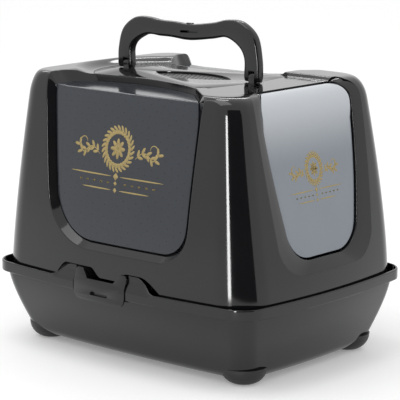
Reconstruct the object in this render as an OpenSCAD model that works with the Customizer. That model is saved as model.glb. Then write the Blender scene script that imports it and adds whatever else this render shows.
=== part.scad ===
// Covered litter box: a tray on four feet, a lift-off hood with side windows, a swinging
// entry flap, side latches, a filter bay and a folding carrying handle.
// +X is the entry end, -Y the side with the near latch, Z is up, feet stand on z = 0.

/* [Tray] */
// Length over the rim
tray_len = 500; // [480:5:530]
// Width over the rim
tray_wid = 390; // [375:5:410]
// Height of the rim's top edge
rim_top = 117.7; // [114:0.5:124]
// Height of the rim's outer skirt
rim_skirt = 15.2; // [12:0.2:18]
// Corner radius of the rim in plan
rim_corner = 30; // [26:1:36]
// Outward bow of the long sides
bow_long = 15.4; // [8:0.2:18]
// Outward bow of the short sides
bow_short = 14.5; // [8:0.5:18]
// Height of the tray's underside
tray_bottom = 7; // [5:0.5:9]
// Wall thickness of the tray
tray_wall = 3; // [2.5:0.1:3.6]
// How far the pan's long walls lean in
pan_lean_long = 40; // [34:1:46]
// How far the pan's end walls lean in
pan_lean_short = 32; // [28:1:40]
// Radius between the pan's walls and its floor
pan_round = 14; // [10:1:18]

/* [Feet] */
// Distance of a foot from the middle along the length
foot_x = 182; // [176:1:186]
// Distance of a foot from the middle across the width
foot_y = 116; // [110:1:120]
// Radius of a foot where it meets the tray
foot_r = 33; // [28:1:36]
// Radius of the flat that stands on the floor
foot_flat_r = 10; // [7:0.5:14]

/* [Hood] */
// Height of the top deck
hood_top = 387.4; // [375:1:400]
// Wall thickness of the hood
hood_wall = 3; // [2.6:0.1:3.4]
// Step from the rim's outer edge in to the hood
hood_step = 6.9; // [6.5:0.1:7.2]
// How far the long walls lean in up to the top
side_lean = 17; // [12:1:22]
// How far the front wall leans in up to the top
front_lean = 46; // [40:1:50]
// How far the rear wall leans in up to the top
rear_lean = 44; // [38:1:48]
// Height of the rounded shoulder
shoulder_h = 44; // [38:1:50]
// Width of the shoulder along the long sides
shoulder_side = 48; // [42:1:52]
// Width of the shoulder over the entry
shoulder_front = 34; // [30:1:38]
// Width of the shoulder at the rear
shoulder_rear = 24; // [20:1:30]
// Rise of the crown behind the deck
crown_rise = 7; // [4:0.5:9]
// Rise of the two horns beside the far window
horn_rise = 6; // [3:0.5:8]

/* [Windows] */
// Depth of the window recess
recess_depth = 8; // [6:0.5:9]
// Thickness of a window
window_t = 2.2; // [1.8:0.1:2.6]
// Rear edge of a window
window_rear = -122; // [-126:1:-116]
// Front edge of the near window
window_front = 130; // [124:1:132]
// Lower edge of a window
window_low = 171; // [166:1:180]
// Width of the recess border round a window
recess_border = 12; // [9:1:14]
// Distance of the recess's inner end from the middle
band_y = 70; // [68:1:74]

/* [Entry flap] */
// Depth of the flap below the front wall
flap_depth = 12; // [10:0.5:13]
// Thickness of the flap
flap_t = 2.6; // [2:0.2:3]
// Half width of the flap at the top
flap_half = 96; // [90:1:98]
// Lower edge of the flap
flap_low = 165; // [160:1:172]
// Gap round the flap
flap_gap = 2; // [1.5:0.1:2.5]
// Diameter of the flap's pins
flap_pin_d = 5; // [4:0.5:6]

/* [Handle] */
// Overall width of the handle
handle_w = 261; // [250:1:266]
// Height of the handle above the deck
handle_h = 84; // [78:1:90]
// Thickness of the handle
handle_t = 14; // [12:0.5:15]
// Width of the handle's posts
post_w = 25; // [22:0.5:26]
// Place of the handle's middle along the length
handle_x = -17.5; // [-20:0.5:-15]
// Diameter of the handle's pins
handle_pin_d = 5; // [4:0.5:6]

/* [Deck and filter] */
// Thickness of the deck plate
deck_t = 3; // [2.5:0.1:3.5]
// Length of the filter grille
grille_len = 140; // [130:1:144]
// Width of the filter grille
grille_wid = 62; // [56:1:64]
// Depth of the grille below the deck
grille_sink = 3.2; // [3:0.2:4]
// Thickness of the grille
grille_t = 2.4; // [2:0.2:3]
// Diameter of a grille hole
hole_d = 3.6; // [2.5:0.1:4.5]
// Distance between grille holes
hole_pitch = 7.5; // [7:0.25:9]
// Thickness of the filter pad
pad_t = 9; // [7:0.5:10]
// Wall thickness of the filter cup
cup_wall = 2; // [1.6:0.1:2.4]

/* [Latches] */
// Width of a latch
latch_w = 95; // [90:1:100]
// Height of a latch's horns
latch_top = 136; // [132:0.5:140]
// Thickness of a latch
latch_t = 2.8; // [2.4:0.1:3]
// Place of the latches along the length
latch_x = -11; // [-15:1:-5]
// Diameter of the latch pins
latch_pin_d = 3.2; // [3:0.1:4]

/* [Clearances] */
// Gap between faces of pieces that come apart
face_gap = 0.3; // [0.2:0.05:0.5]
// Radial running clearance of a pin
pin_gap = 0.05; // [0.02:0.01:0.1]

/* [Hidden] */

shell_color = "#26262a";
smoke_color = "#5a6068";
flap_color = "#8d959e";
pin_color = "#3a3a3e";
rubber_color = "#161616";
pad_color = "#1c1c1c";

corner_steps = 5;
side_steps = 4;
plan_end = 0.6;
eps = 0.01;
reach = 60;

// ---- plan of the whole box: a rounded rectangle whose sides bow outward ----

function clamp01(v) = min(1, max(0, v));
function ease(v) = let (u = clamp01(v)) u * u * (3 - 2 * u);
function arc(cx, cy, r, a0, a1, n) =
    [for (k = [0:n]) let (a = a0 + (a1 - a0) * k / n) [cx + r * cos(a), cy + r * sin(a)]];
function between(p, q, n) = [for (k = [1:n - 1]) p + (q - p) * k / n];

function plain_ring(a, b, r) = concat(
    arc(a - r, b - r, r, 0, 90, corner_steps),
    between([a - r, b], [r - a, b], side_steps),
    arc(r - a, b - r, r, 90, 180, corner_steps),
    between([-a, b - r], [-a, r - b], side_steps),
    arc(r - a, r - b, r, 180, 270, corner_steps),
    between([r - a, -b], [a - r, -b], side_steps),
    arc(a - r, r - b, r, 270, 360, corner_steps),
    between([a, r - b], [a, b - r], side_steps));

// half sizes xr, xf and b are measured at the middle of each side, bows included
function bowed_ring(xr, xf, b, r, keep) =
    let (sy = bow_short * keep, sx = bow_long * keep)
    let (a0 = (xf + xr) / 2 - sy, b0 = b - sx, cx = (xf - xr) / 2)
    [for (p = plain_ring(a0, b0, r)) [
        cx + p.x + sy * (p.x / a0) * (1 - pow(p.y / b0, 2)),
        p.y + sx * (p.y / b0) * (1 - pow(p.x / a0, 2))]];

function at_height(ring, z) = [for (p = ring) [p.x, p.y, z]];

module loft(rings) {
    n = len(rings[0]);
    m = len(rings);
    walls = [for (k = [0:m - 2]) for (i = [0:n - 1])
        let (a = k * n + i, b = k * n + (i + 1) % n)
        each [[a, a + n, b + n], [a, b + n, b]]];
    ends = [[for (i = [0:n - 1]) i], [for (i = [n - 1:-1:0]) (m - 1) * n + i]];
    polyhedron([for (r = rings) each r], concat(walls, ends), convexity = 6);
}

// ---- tray ----

half_len = tray_len / 2;
half_wid = tray_wid / 2;
skirt_z = rim_top - rim_skirt;
pan_inset = 8.5;
pan_corner = 24;
pan_keep = 0.51;
pan_power = 1.28;
channel_wall = 2.6;
channel_out = hood_step - 4;
channel_in = hood_step + hood_wall + 1.4;
channel_z = skirt_z + 4;
lip_top = rim_top - 4;
corner_low = rim_corner - hood_step + 6;
lip_corner = corner_low + hood_step;
hump_top = latch_top + 0.5;
hump_flat = 63;
hump_end = 100;
latch_slot = 1.6;

function tray_ring(inset, z, r = rim_corner, keep = 1) =
    at_height(bowed_ring(half_len - inset, half_len - inset, half_wid - inset,
        max(8, r - inset), keep), z);

// wall ring of the pan, s = 0 at the skirt and 1 at the underside, inset d from the outside
function pan_ring(s, z, d, round_in = 0) =
    let (lean = pow(s, pan_power), keep = 1 - (1 - pan_keep) * s)
    at_height(bowed_ring(
        half_len - pan_inset - pan_lean_short * lean - round_in - d,
        half_len - pan_inset - pan_lean_short * lean - round_in - d,
        half_wid - pan_inset - pan_lean_long * lean - round_in - d,
        max(6, pan_corner - d - round_in / 2), keep), z);

pan_steps = 4;
round_steps = 4;
function pan_rings(d, bottom, top) =
    let (rr = max(4, pan_round - d), h = top - bottom)
    concat(
        [for (k = [0:round_steps]) let (a = 90 * k / round_steps)
            let (z = bottom + rr * (1 - cos(a)))
            pan_ring((skirt_z - z) / (skirt_z - tray_bottom + d), z, d, rr * (1 - sin(a)))],
        [for (k = [1:pan_steps]) let (z = bottom + rr + (h - rr) * k / pan_steps)
            pan_ring(max(0, (skirt_z - z) / (skirt_z - tray_bottom + d)), z, d)]);

module pan_outside() {
    loft(pan_rings(0, tray_bottom, skirt_z + eps));
}

module rim_outside() {
    edge = 2;
    loft([tray_ring(0, skirt_z), tray_ring(0, rim_top - edge), tray_ring(edge, rim_top)]);
}

module rim_band(inset_a, inset_b, z0, z1) {
    difference() {
        loft([tray_ring(inset_a, z0), tray_ring(inset_a, z1)]);
        loft([tray_ring(inset_b, z0 - 1, lip_corner), tray_ring(inset_b, z1 + 1, lip_corner)]);
    }
}

// side view of the wave that the rim makes beside a latch
function hump_outline() = concat(
    [[-hump_end, rim_top - 4]],
    [for (k = [0:8]) [-hump_end + (hump_end - hump_flat) * k / 8,
        rim_top + (hump_top - rim_top) * ease(k / 8)]],
    [for (k = [0:8]) [hump_flat + (hump_end - hump_flat) * k / 8,
        rim_top + (hump_top - rim_top) * ease(1 - k / 8)]],
    [[hump_end, rim_top - 4]]);

module along_y(y0, y1) {
    translate([0, y1, 0]) rotate([90, 0, 0]) linear_extrude(y1 - y0) children();
}

module both_sides() {
    children();
    mirror([0, 1, 0]) children();
}

// the humps lean in until they are flush with the hood's wall
function hump_rings(d) = [tray_ring(d, rim_top - 4 - d), tray_ring(1 + d, rim_top),
    tray_ring(3.2 + d, rim_top + 4), tray_ring(hood_step - 0.6 + d, rim_top + 9),
    tray_ring(hood_step + 0.8 + d, hump_top + 2 + d)];

module rim_humps() {
    intersection() {
        difference() {
            loft(hump_rings(0));
            loft(hump_rings(channel_wall));
        }
        both_sides() along_y(-half_wid - 1, -half_wid + 16)
            translate([latch_x, 0]) polygon(hump_outline());
    }
}

latch_y = -half_wid + 4.7;
latch_z = skirt_z - 1.5;
latch_pin_len = 66;
knuckle_r = latch_pin_d / 2 + 1.7;
ear_in = 19;
ear_out = 25;

module latch_ears() {
    for (side = [-1, 1])
        translate([latch_x + (side > 0 ? ear_in : -ear_out), latch_y, latch_z])
            rotate([0, 90, 0]) cylinder(h = ear_out - ear_in, r = knuckle_r, $fn = 32);
}

module pin_bore_x(y, z, d, x0, x1) {
    translate([x0, y, z]) rotate([0, 90, 0]) cylinder(h = x1 - x0, d = d, $fn = 32);
}

module pan_hollow() {
    loft(concat(pan_rings(tray_wall, tray_bottom + tray_wall, skirt_z - 6),
        [tray_ring(channel_in + 3, skirt_z, lip_corner),
            tray_ring(channel_in + 3, rim_top + 1, lip_corner)]));
}

module tray() {
    color(shell_color) difference() {
        union() {
            difference() {
                union() {
                    pan_outside();
                    rim_outside();
                }
                rim_band(channel_out, channel_in, channel_z, rim_top + 1);
                rim_band(channel_in - 1, channel_in + 9, lip_top, rim_top + 1);
            }
            rim_humps();
            both_sides() latch_ears();
        }
        both_sides() {
            translate([latch_x - latch_w / 2 - latch_slot, -half_wid - 2, latch_z - 6])
                cube([latch_w + 2 * latch_slot, channel_out + 2, reach]);
            translate([latch_x - latch_w / 2 - latch_slot, -half_wid - 2, lip_top])
                cube([latch_w + 2 * latch_slot, channel_in + 4, reach]);
            for (side = [-1, 1])
                translate([latch_x + side * (ear_out + latch_pin_len / 2 + 1) / 2 - 5,
                    -half_wid - 2, latch_z - 6])
                    cube([10, pan_inset + 1.8, knuckle_r + 6.5]);
            pin_bore_x(latch_y, latch_z, latch_pin_d + 2 * pin_gap,
                latch_x - latch_pin_len, latch_x + latch_pin_len);
        }
        pan_hollow();
    }
}

foot_h = tray_bottom + 17;
module foot(sx, sy) {
    color(rubber_color) difference() {
        translate([sx * foot_x, sy * foot_y, 0])
            rotate_extrude($fn = 48) polygon(concat([[0, 0], [foot_flat_r, 0]],
                arc(foot_flat_r, foot_h, foot_h, -70, 0, 6) * [[(foot_r - foot_flat_r) / foot_h, 0], [0, 1]],
                [[0, foot_h]]));
        loft(pan_rings(0, tray_bottom, skirt_z));
    }
}

// ---- latches ----

horn_w = 15;
notch_z = rim_top + 5;
function latch_outline() = concat(
    arc(-latch_w / 2 + 14, skirt_z + 3, 14, 180, 250, 5),
    [[-18, skirt_z - 10.5], [18, skirt_z - 10.5]],
    arc(latch_w / 2 - 14, skirt_z + 3, 14, 290, 360, 5),
    arc(latch_w / 2 - 5, latch_top - 5, 5, 0, 90, 4),
    arc(latch_w / 2 - horn_w + 4, latch_top - 4, 4, 90, 165, 4),
    [[latch_w / 2 - horn_w - 8, notch_z], [-latch_w / 2 + horn_w + 8, notch_z]],
    arc(-latch_w / 2 + horn_w - 4, latch_top - 4, 4, 15, 90, 4),
    arc(-latch_w / 2 + 5, latch_top - 5, 5, 90, 180, 4));

// section of a latch: flush with the rim, leaning in towards its horns
latch_proud = 1.6;
latch_lean = hood_step - latch_t + 0.5;
function latch_face(d) = [[d, skirt_z - 11], [d - latch_proud + 0.4, skirt_z - 7],
    [d - latch_proud, skirt_z - 2], [d - latch_proud + 0.6, rim_top],
    [d + latch_lean - 2, rim_top + 9], [d + latch_lean, latch_top + 1]];

slot_w = 26;
slot_h = 5;
latch_knuckle = latch_pin_len / 2 - ear_out - 0.4;
module latch() {
    face = latch_face(0);
    back = latch_face(latch_t);
    color(shell_color) translate([latch_x, 0, 0]) difference() {
        union() {
            intersection() {
                translate([-latch_w, -half_wid, 0]) rotate([90, 0, 90]) linear_extrude(2 * latch_w)
                    polygon(concat(face, [for (k = [len(back) - 1:-1:0]) back[k]]));
                along_y(-half_wid - 20, -half_wid + 20) polygon(latch_outline());
            }
            for (side = [-1, 1])
                translate([side > 0 ? ear_out + 0.4 : -latch_pin_len / 2, latch_y, latch_z])
                    union() {
                        rotate([0, 90, 0]) cylinder(h = latch_knuckle, r = knuckle_r, $fn = 32);
                        translate([0, latch_t - latch_proud - half_wid - latch_y - 1, -knuckle_r + 0.4])
                            cube([latch_knuckle, latch_y + half_wid + latch_proud - latch_t + 1,
                                2 * knuckle_r - 0.8]);
                    }
        }
        pin_bore_x(latch_y, latch_z, latch_pin_d + 2 * pin_gap, -latch_pin_len, latch_pin_len);
        translate([0, -half_wid - latch_proud + 1.2, skirt_z + 3]) rotate([90, 0, 0])
            linear_extrude(5) slot_shape();
    }
}

module slot_shape() {
    square([slot_w - slot_h, slot_h], center = true);
    for (side = [-1, 1]) translate([side * (slot_w - slot_h) / 2, 0]) circle(d = slot_h, $fn = 24);
}

module latch_pin() {
    color(pin_color) pin_bore_x(latch_y, latch_z, latch_pin_d,
        latch_x - latch_pin_len / 2, latch_x + latch_pin_len / 2);
}

// ---- hood ----

hood_foot = channel_z + face_gap;
hood_xy = half_len - hood_step;
hood_b = half_wid - hood_step;
top_keep = 0.15;
corner_grow = 16;
front_power = 1.2;
rear_power = 1.3;

function level(z) = clamp01((z - rim_top) / (hood_top - rim_top));
function lift(z) = clamp01((z - hood_top + shoulder_h) / shoulder_h);
function shoulder(z, w) = w * (1 - sqrt(1 - pow(lift(z), 2)));
function side_in(z) = side_lean * level(z) + shoulder(z, shoulder_side);
function front_in(z) = front_lean * pow(level(z), front_power) + shoulder(z, shoulder_front);
function rear_in(z) = rear_lean * pow(level(z), rear_power) + shoulder(z, shoulder_rear);

far_rear = window_rear + 10;
far_front = window_front - 26;

// the crown behind the deck and the two horns beside the far window
function rise(x, y) =
    crown_rise * ease((-150 - x) / 30)
    + horn_rise * ease((y - band_y - 6) / 12)
        * max(ease((far_rear - 6 - x) / 14), ease((x - far_front - 8) / 14));

function hood_ring(z, d, shrink = 1) =
    let (up = shrink < 1 ? 1 : lift(z), out = sqrt(1 - up * up) * d)
    let (xr = hood_xy - rear_in(z) - out, xf = hood_xy - front_in(z) - out)
    let (b = hood_b - side_in(z) - out, t = level(z))
    let (r = max(4, corner_low + corner_grow * t * t - out))
    [for (p = bowed_ring(xr, xf, b, r, 1 - (1 - top_keep) * t))
        let (x = p.x * shrink, y = p.y * shrink)
        [x, y, z - d * up + rise(x, y) * pow(up, 2)]];

wall_levels = [for (f = [0, 0.19, 0.39, 0.59, 0.81])
    rim_top + f * (hood_top - shoulder_h - rim_top)];
shoulder_steps = 6;
function hood_rings(d, foot) = concat(
    [hood_ring(rim_top, d) - [for (i = [1:len(hood_ring(rim_top, d))]) [0, 0, rim_top - foot]]],
    [for (z = wall_levels) hood_ring(z, d)],
    [for (k = [0:shoulder_steps])
        hood_ring(hood_top - shoulder_h * (1 - sin(90 * k / shoulder_steps)), d)],
    [for (s = [0.92, 0.84, 0.76, plan_end]) hood_ring(hood_top, d, s)]);

module hood_solid(d, foot = hood_foot) {
    loft(hood_rings(d, foot));
}

// outline of the near window seen from the side, grown by g
over_top = hood_top + reach;
function window_outline(g, rear, front) = concat(
    arc(rear + 76, window_low + 76, 76 + g, 182, 268, 8),
    arc(front - 44, window_low + 38, 38 + g, 272, 357, 8),
    [[front + 4 + g, over_top], [rear - 2 - g, over_top]]);

// inner end of a window recess: one wide arc in plan
band_r = 480;
band_x = -10;
module behind_band(g) {
    translate([band_x, -band_y + g - band_r, 0]) cylinder(h = over_top, r = band_r, $fn = 96);
}

module window_prism(g, rear, front) {
    intersection() {
        along_y(-half_wid, 0) polygon(window_outline(g, rear, front));
        behind_band(min(0, g));
    }
}

module window_panel(rear, front, far) {
    color(smoke_color) intersection() {
        difference() {
            hood_solid(recess_depth - face_gap - window_t);
            hood_solid(recess_depth - face_gap, 0);
        }
        mirror([0, far, 0]) window_prism(-1, rear, front);
    }
}

// entry: outlines seen from the front, as [y, z]
corner_turn = 12.8;
flare_power = 1.6;
flare_top = hood_top - 30;
function entry_outline(g, half, bottom, r, flare) =
    let (cy = half - flare - r * cos(corner_turn), cz = bottom + r)
    let (z0 = cz - r * sin(corner_turn))
    let (side = [for (k = [1:6]) let (z = z0 + (flare_top - z0) * k / 6)
        [half + g - flare * pow(1 - k / 6, flare_power), z]])
    concat(arc(cy, cz, r + g, -90, -corner_turn, 7), side, [[half + g, over_top]],
        [[-half - g, over_top]], mirrored(side),
        arc(-cy, cz, r + g, 180 + corner_turn, 270, 7));

function flap_outline(g) = entry_outline(g, flap_half, flap_low, 45, 21);
function surround_outline(g) = entry_outline(g, flap_half + 20.5, flap_low - 19, 50, 12.5);
entry_back = hood_xy - front_lean - shoulder_front - 1.5;

module along_x(x0, x1) {
    translate([x0, 0, 0]) rotate([90, 0, 90]) linear_extrude(x1 - x0) children();
}

// the sloping surround: a frustum set against the leaning front wall
front_slope = atan(front_lean * 0.9 / (hood_top - rim_top));
module surround_cut() {
    hull() {
        translate([hood_xy + 2, 0, rim_top]) rotate([0, -front_slope, 0])
            translate([0, 0, -rim_top]) along_x(0, 1)
                polygon(surround_outline(0));
        translate([hood_xy - flap_depth, 0, rim_top]) rotate([0, -front_slope, 0])
            translate([0, 0, -rim_top]) along_x(0, 1) polygon(flap_outline(flap_gap));
    }
}

module surround_wall() {
    hull() {
        translate([hood_xy + 2, 0, rim_top]) rotate([0, -front_slope, 0])
            translate([-hood_wall, 0, -rim_top]) along_x(0, 1)
                polygon(surround_outline(hood_wall));
        translate([hood_xy - flap_depth, 0, rim_top]) rotate([0, -front_slope, 0])
            translate([-hood_wall, 0, -rim_top]) along_x(0, 1)
                polygon(flap_outline(flap_gap + hood_wall));
    }
}

module entry_cut() {
    along_x(entry_back, half_len + 5) polygon(flap_outline(flap_gap));
}

// wave in the hood's lower edge over a latch
wave_top = latch_top + 4;
tongue_z = rim_top + 10;
wave_half = 118;
tongue_half = 22;
function wave_height(x) =
    let (outer = ease((wave_half - 1 - abs(x)) / 34), inner = ease((tongue_half - abs(x + 3)) / 12))
    hood_foot - 1 + outer * (wave_top - hood_foot + 1) - inner * (wave_top - tongue_z);
function wave_outline() = concat([[-wave_half, 0]],
    [for (x = [-wave_half:4:wave_half]) [x, wave_height(x)]], [[wave_half, 0]]);

// deck seat
deck_ledge = 7;
rear_arc_r = 100;
rear_arc_x = -67;
front_arc_r = 109.5;
front_arc_x = 2.5;
deck_edge = band_y + 8;
function deck_outline(g) = concat(
    arc(front_arc_x, 0, front_arc_r + g, -asin((deck_edge - 4) / front_arc_r),
        asin((deck_edge - 4) / front_arc_r), 14),
    [for (x = [60:-20:-100]) [x, band_line(x) + g]],
    arc(rear_arc_x, 0, rear_arc_r + g, 180 - asin(deck_edge / rear_arc_r),
        180 + asin(deck_edge / rear_arc_r), 14),
    [for (x = [-100:20:60]) [x, -band_line(x) - g]]);
deck_margin = 4;
function band_line(x) = band_y + band_r - sqrt(pow(band_r, 2) - pow(x - band_x, 2)) - deck_margin;

// flap pivot
pivot_x = hood_xy - 60;
pivot_z = hood_top - 37;
boss_r = flap_pin_d / 2 + 2.5;
boss_in = flap_half + flap_gap;
boss_out = boss_in + 14;

module pin_y(x, z, d, y0, y1) {
    translate([x, y1, z]) rotate([90, 0, 0]) cylinder(h = y1 - y0, d = d, $fn = 32);
}

module flap_bosses() {
    intersection() {
        both_sides() union() {
            pin_y(pivot_x, pivot_z, 2 * boss_r, -boss_out, -boss_in);
            translate([pivot_x, -boss_out, pivot_z - boss_r])
                cube([reach, boss_out - boss_in, 2 * boss_r]);
        }
        hood_solid(1);
    }
}

aperture_top = hood_top - shoulder_h - 6;
module aperture(rear, front) {
    intersection() {
        along_y(-half_wid, -half_wid + 60) polygon(window_outline(-12, rear, front));
        translate([-half_len, -half_wid, 0]) cube([tray_len, tray_wid, aperture_top]);
    }
}

module recess_shape(depth, grow) {
    difference() {
        union() {
            window_prism(grow, window_rear, window_front);
            mirror([0, 1, 0]) window_prism(grow, far_rear, far_front);
        }
        hood_solid(depth, 0);
    }
}

module hood() {
    color(shell_color) difference() {
        union() {
            difference() {
                hood_solid(0);
                difference() {
                    hood_solid(hood_wall, 0);
                    recess_shape(recess_depth + hood_wall, recess_border + hood_wall);
                    surround_wall();
                }
                recess_shape(recess_depth / 2, recess_border);
                recess_shape(recess_depth, recess_border / 2);
            }
            flap_bosses();
        }
        surround_cut();
        both_sides() along_y(-half_wid, -half_wid + 60) polygon(wave_outline());
        aperture(window_rear, window_front);
        mirror([0, 1, 0]) aperture(far_rear, far_front);
        entry_cut();
        translate([0, 0, hood_top - deck_t]) linear_extrude(reach) polygon(deck_outline(face_gap));
        translate([0, 0, hood_top - reach]) linear_extrude(2 * reach)
            polygon(deck_outline(-deck_ledge));
        both_sides() pin_y(pivot_x, pivot_z, flap_pin_d + 2 * pin_gap, -boss_out + 3, -boss_in + 1);
    }
}

// ---- entry flap ----

knuckle_half = flap_pin_d / 2 + 2;
knuckle_len = 16;

function flap_x(z) = hood_xy - front_in(z) - flap_depth;
flap_top_x = entry_back + 5;
flap_edge_z = hood_top - 1.5;
bend_z = pivot_z - 12;
// side view of the flap's outer face, d inside it
function flap_face(d) = concat(
    [for (k = [0:6]) let (z = flap_low + (bend_z - flap_low) * k / 6) [flap_x(z) - d, z]],
    let (x1 = flap_x(bend_z), rx = x1 - flap_top_x, rz = flap_edge_z - bend_z)
    [for (a = [12:12:84]) [flap_top_x + (rx - d) * cos(a), bend_z + (rz - d) * sin(a)]],
    [[flap_top_x, flap_edge_z - d]]);

module flap_section() {
    outer = flap_face(0);
    inner = flap_face(flap_t);
    along_y(-flap_half - 20, flap_half + 20)
        polygon(concat(outer, [for (k = [len(inner) - 1:-1:0]) inner[k]]));
}

module entry_flap() {
    color(flap_color) difference() {
        union() {
            intersection() {
                flap_section();
                along_x(0, half_len) polygon(flap_outline(0));
            }
            both_sides() intersection() {
                union() {
                    pin_y(pivot_x, pivot_z, 2 * knuckle_half, 1 - flap_half, knuckle_len - flap_half);
                    translate([pivot_x, 1 - flap_half, pivot_z - knuckle_half])
                        cube([reach, knuckle_len - 1, 2 * knuckle_half]);
                }
                along_y(-flap_half - 20, flap_half + 20)
                    polygon(concat(flap_face(0), [[flap_top_x - reach, flap_edge_z], [0, flap_low]]));
            }
        }
        both_sides() pin_y(pivot_x, pivot_z, flap_pin_d + 2 * pin_gap,
            -flap_half - 1, knuckle_len - flap_half - 2);
    }
}

module flap_pin() {
    color(pin_color) pin_y(pivot_x, pivot_z, flap_pin_d, -boss_out + 4, knuckle_len - flap_half - 4);
}

// ---- deck, filter bay and handle ----

grille_x = -12;
function lens_r(g) = (pow(grille_len / 2 + g, 2) + pow(grille_wid / 2 + g, 2)) / (grille_wid + 2 * g);
module lens(g) {
    r = lens_r(g);
    translate([grille_x, 0]) intersection() {
        translate([0, r - grille_wid / 2 - g]) circle(r = r, $fn = 120);
        translate([0, grille_wid / 2 + g - r]) circle(r = r, $fn = 120);
    }
}

bay_gap = 0.5;
lug_r = handle_t / 2;
lug_w = 10;
hinge_z = hood_top + 8;
post_front = handle_x + handle_w / 2 - post_w / 2;
post_rear = handle_x - handle_w / 2 + post_w / 2;

module top_deck() {
    color(shell_color) difference() {
        union() {
            translate([0, 0, hood_top - deck_t]) linear_extrude(deck_t) polygon(deck_outline(0));
            for (x = [post_rear, post_front]) translate([x - lug_w / 2, 0, 0]) {
                translate([0, 0, hinge_z]) rotate([0, 90, 0]) cylinder(h = lug_w, r = lug_r, $fn = 48);
                translate([0, -lug_r, hood_top - 1]) cube([lug_w, 2 * lug_r, hinge_z - hood_top + 1]);
            }
        }
        translate([0, 0, hood_top - reach]) linear_extrude(reach * 1.2) lens(bay_gap);
        for (x = [post_rear, post_front])
            pin_bore_x(0, hinge_z, handle_pin_d + 2 * pin_gap, x - lug_w, x + lug_w);
    }
}

cup_ledge = 3;
grille_top = hood_top - grille_sink;
cup_ledge_z = grille_top - grille_t - face_gap;
cup_h = pad_t + grille_t + 6;
module filter_cup() {
    rim_z = hood_top - deck_t;
    color(shell_color) difference() {
        translate([0, 0, rim_z - cup_h]) union() {
            linear_extrude(cup_h) lens(bay_gap + cup_wall);
            translate([0, 0, cup_h - cup_wall]) linear_extrude(cup_wall) lens(bay_gap + cup_wall + 4);
        }
        translate([0, 0, cup_ledge_z]) linear_extrude(reach) lens(bay_gap);
        translate([0, 0, rim_z - cup_h + cup_wall]) linear_extrude(reach) lens(-cup_ledge);
        for (x = [-40:20:40]) translate([grille_x + x, 0, rim_z - cup_h - 1])
            linear_extrude(cup_wall + 2) square([8, 26 - abs(x) / 4], center = true);
    }
}

module filter_pad() {
    color(pad_color) translate([0, 0, hood_top - deck_t - cup_h + cup_wall])
        linear_extrude(pad_t) lens(-cup_ledge - 1);
}

hole_rows = floor((grille_wid / 2 - 5) / (hole_pitch * 0.866));
module grille_holes() {
    for (j = [-hole_rows:hole_rows])
        for (i = [-20:20])
            let (x = (i + (abs(j) % 2) / 2) * hole_pitch, y = j * hole_pitch * 0.866)
            if (norm([x, abs(y) + lens_r(0) - grille_wid / 2]) < lens_r(0) - 4.5)
                translate([grille_x + x, y, grille_top - grille_t - 1])
                    cylinder(h = grille_t + 2, d = hole_d, $fn = 20);
}

module filter_grille() {
    color(shell_color) difference() {
        translate([0, 0, grille_top - grille_t]) linear_extrude(grille_t) lens(0);
        grille_holes();
    }
}

// points of a smooth curve through named stations
function spline(p, n) = [for (i = [1:len(p) - 3]) for (k = [0:n - 1])
    let (u = k / n, a = p[i - 1], b = p[i], c = p[i + 1], d = p[i + 2])
    0.5 * (2 * b + (c - a) * u + (2 * a - 5 * b + 4 * c - d) * u * u
        + (3 * b - a - 3 * c + d) * u * u * u)];

grip_dip = 11;
grip_t = 23;
half_w = handle_w / 2;
post_foot = hinge_z;
top_z = hood_top + handle_h;
function handle_outer() = spline([
    [half_w, post_foot - 20], [half_w, post_foot], [half_w - 1, post_foot + 25],
    [half_w - 9, top_z - 20], [half_w - 32, top_z - 2], [half_w - 58, top_z],
    [45, top_z - 6], [0, top_z - grip_dip], [-45, top_z - 6]], 5);
function handle_inner() = spline([
    [half_w - post_w, post_foot - 20], [half_w - post_w, post_foot],
    [half_w - post_w, post_foot + 24], [half_w - post_w - 10, post_foot + 40],
    [half_w - post_w - 33, top_z - grip_t - 2], [45, top_z - grip_t - 6],
    [0, top_z - grip_t - grip_dip], [-45, top_z - grip_t - 6]], 5);
function mirrored(p) = [for (k = [len(p) - 1:-1:0]) [-p[k].x, p[k].y]];

module handle_shape() {
    outer = handle_outer();
    inner = handle_inner();
    polygon(concat([[half_w - post_w, post_foot]], [[half_w, post_foot]],
        [for (k = [5:len(outer) - 1]) outer[k]], mirrored([for (k = [5:len(outer) - 2]) outer[k]]),
        [[-half_w, post_foot], [post_w - half_w, post_foot]],
        mirrored([for (k = [len(inner) - 1:-1:5]) inner[k]]),
        [for (k = [len(inner) - 2:-1:5]) inner[k]]));
}

fork_gap = 0.4;
module carry_handle() {
    color(shell_color) difference() {
        union() {
            translate([handle_x, handle_t / 2, 0]) rotate([90, 0, 0])
                linear_extrude(handle_t) handle_shape();
            for (x = [post_rear, post_front])
                translate([x - post_w / 2, 0, hinge_z]) rotate([0, 90, 0])
                    cylinder(h = post_w, r = handle_t / 2, $fn = 48);
        }
        for (x = [post_rear, post_front]) {
            translate([x - lug_w / 2 - fork_gap, -handle_t, hinge_z - reach])
                cube([lug_w + 2 * fork_gap, 2 * handle_t, reach + lug_r + 2]);
            pin_bore_x(0, hinge_z, handle_pin_d + 2 * pin_gap,
                x - post_w / 2 + 2, x + post_w / 2 - 2);
        }
        translate([handle_x, -handle_t / 2 + 1.2, top_z - grip_dip - grip_t / 2])
            rotate([90, 0, 0]) linear_extrude(5) square([26, 5], center = true);
    }
}

module handle_pin(x) {
    color(pin_color) pin_bore_x(0, hinge_z, handle_pin_d, x - post_w / 2 + 3, x + post_w / 2 - 3);
}

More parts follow.
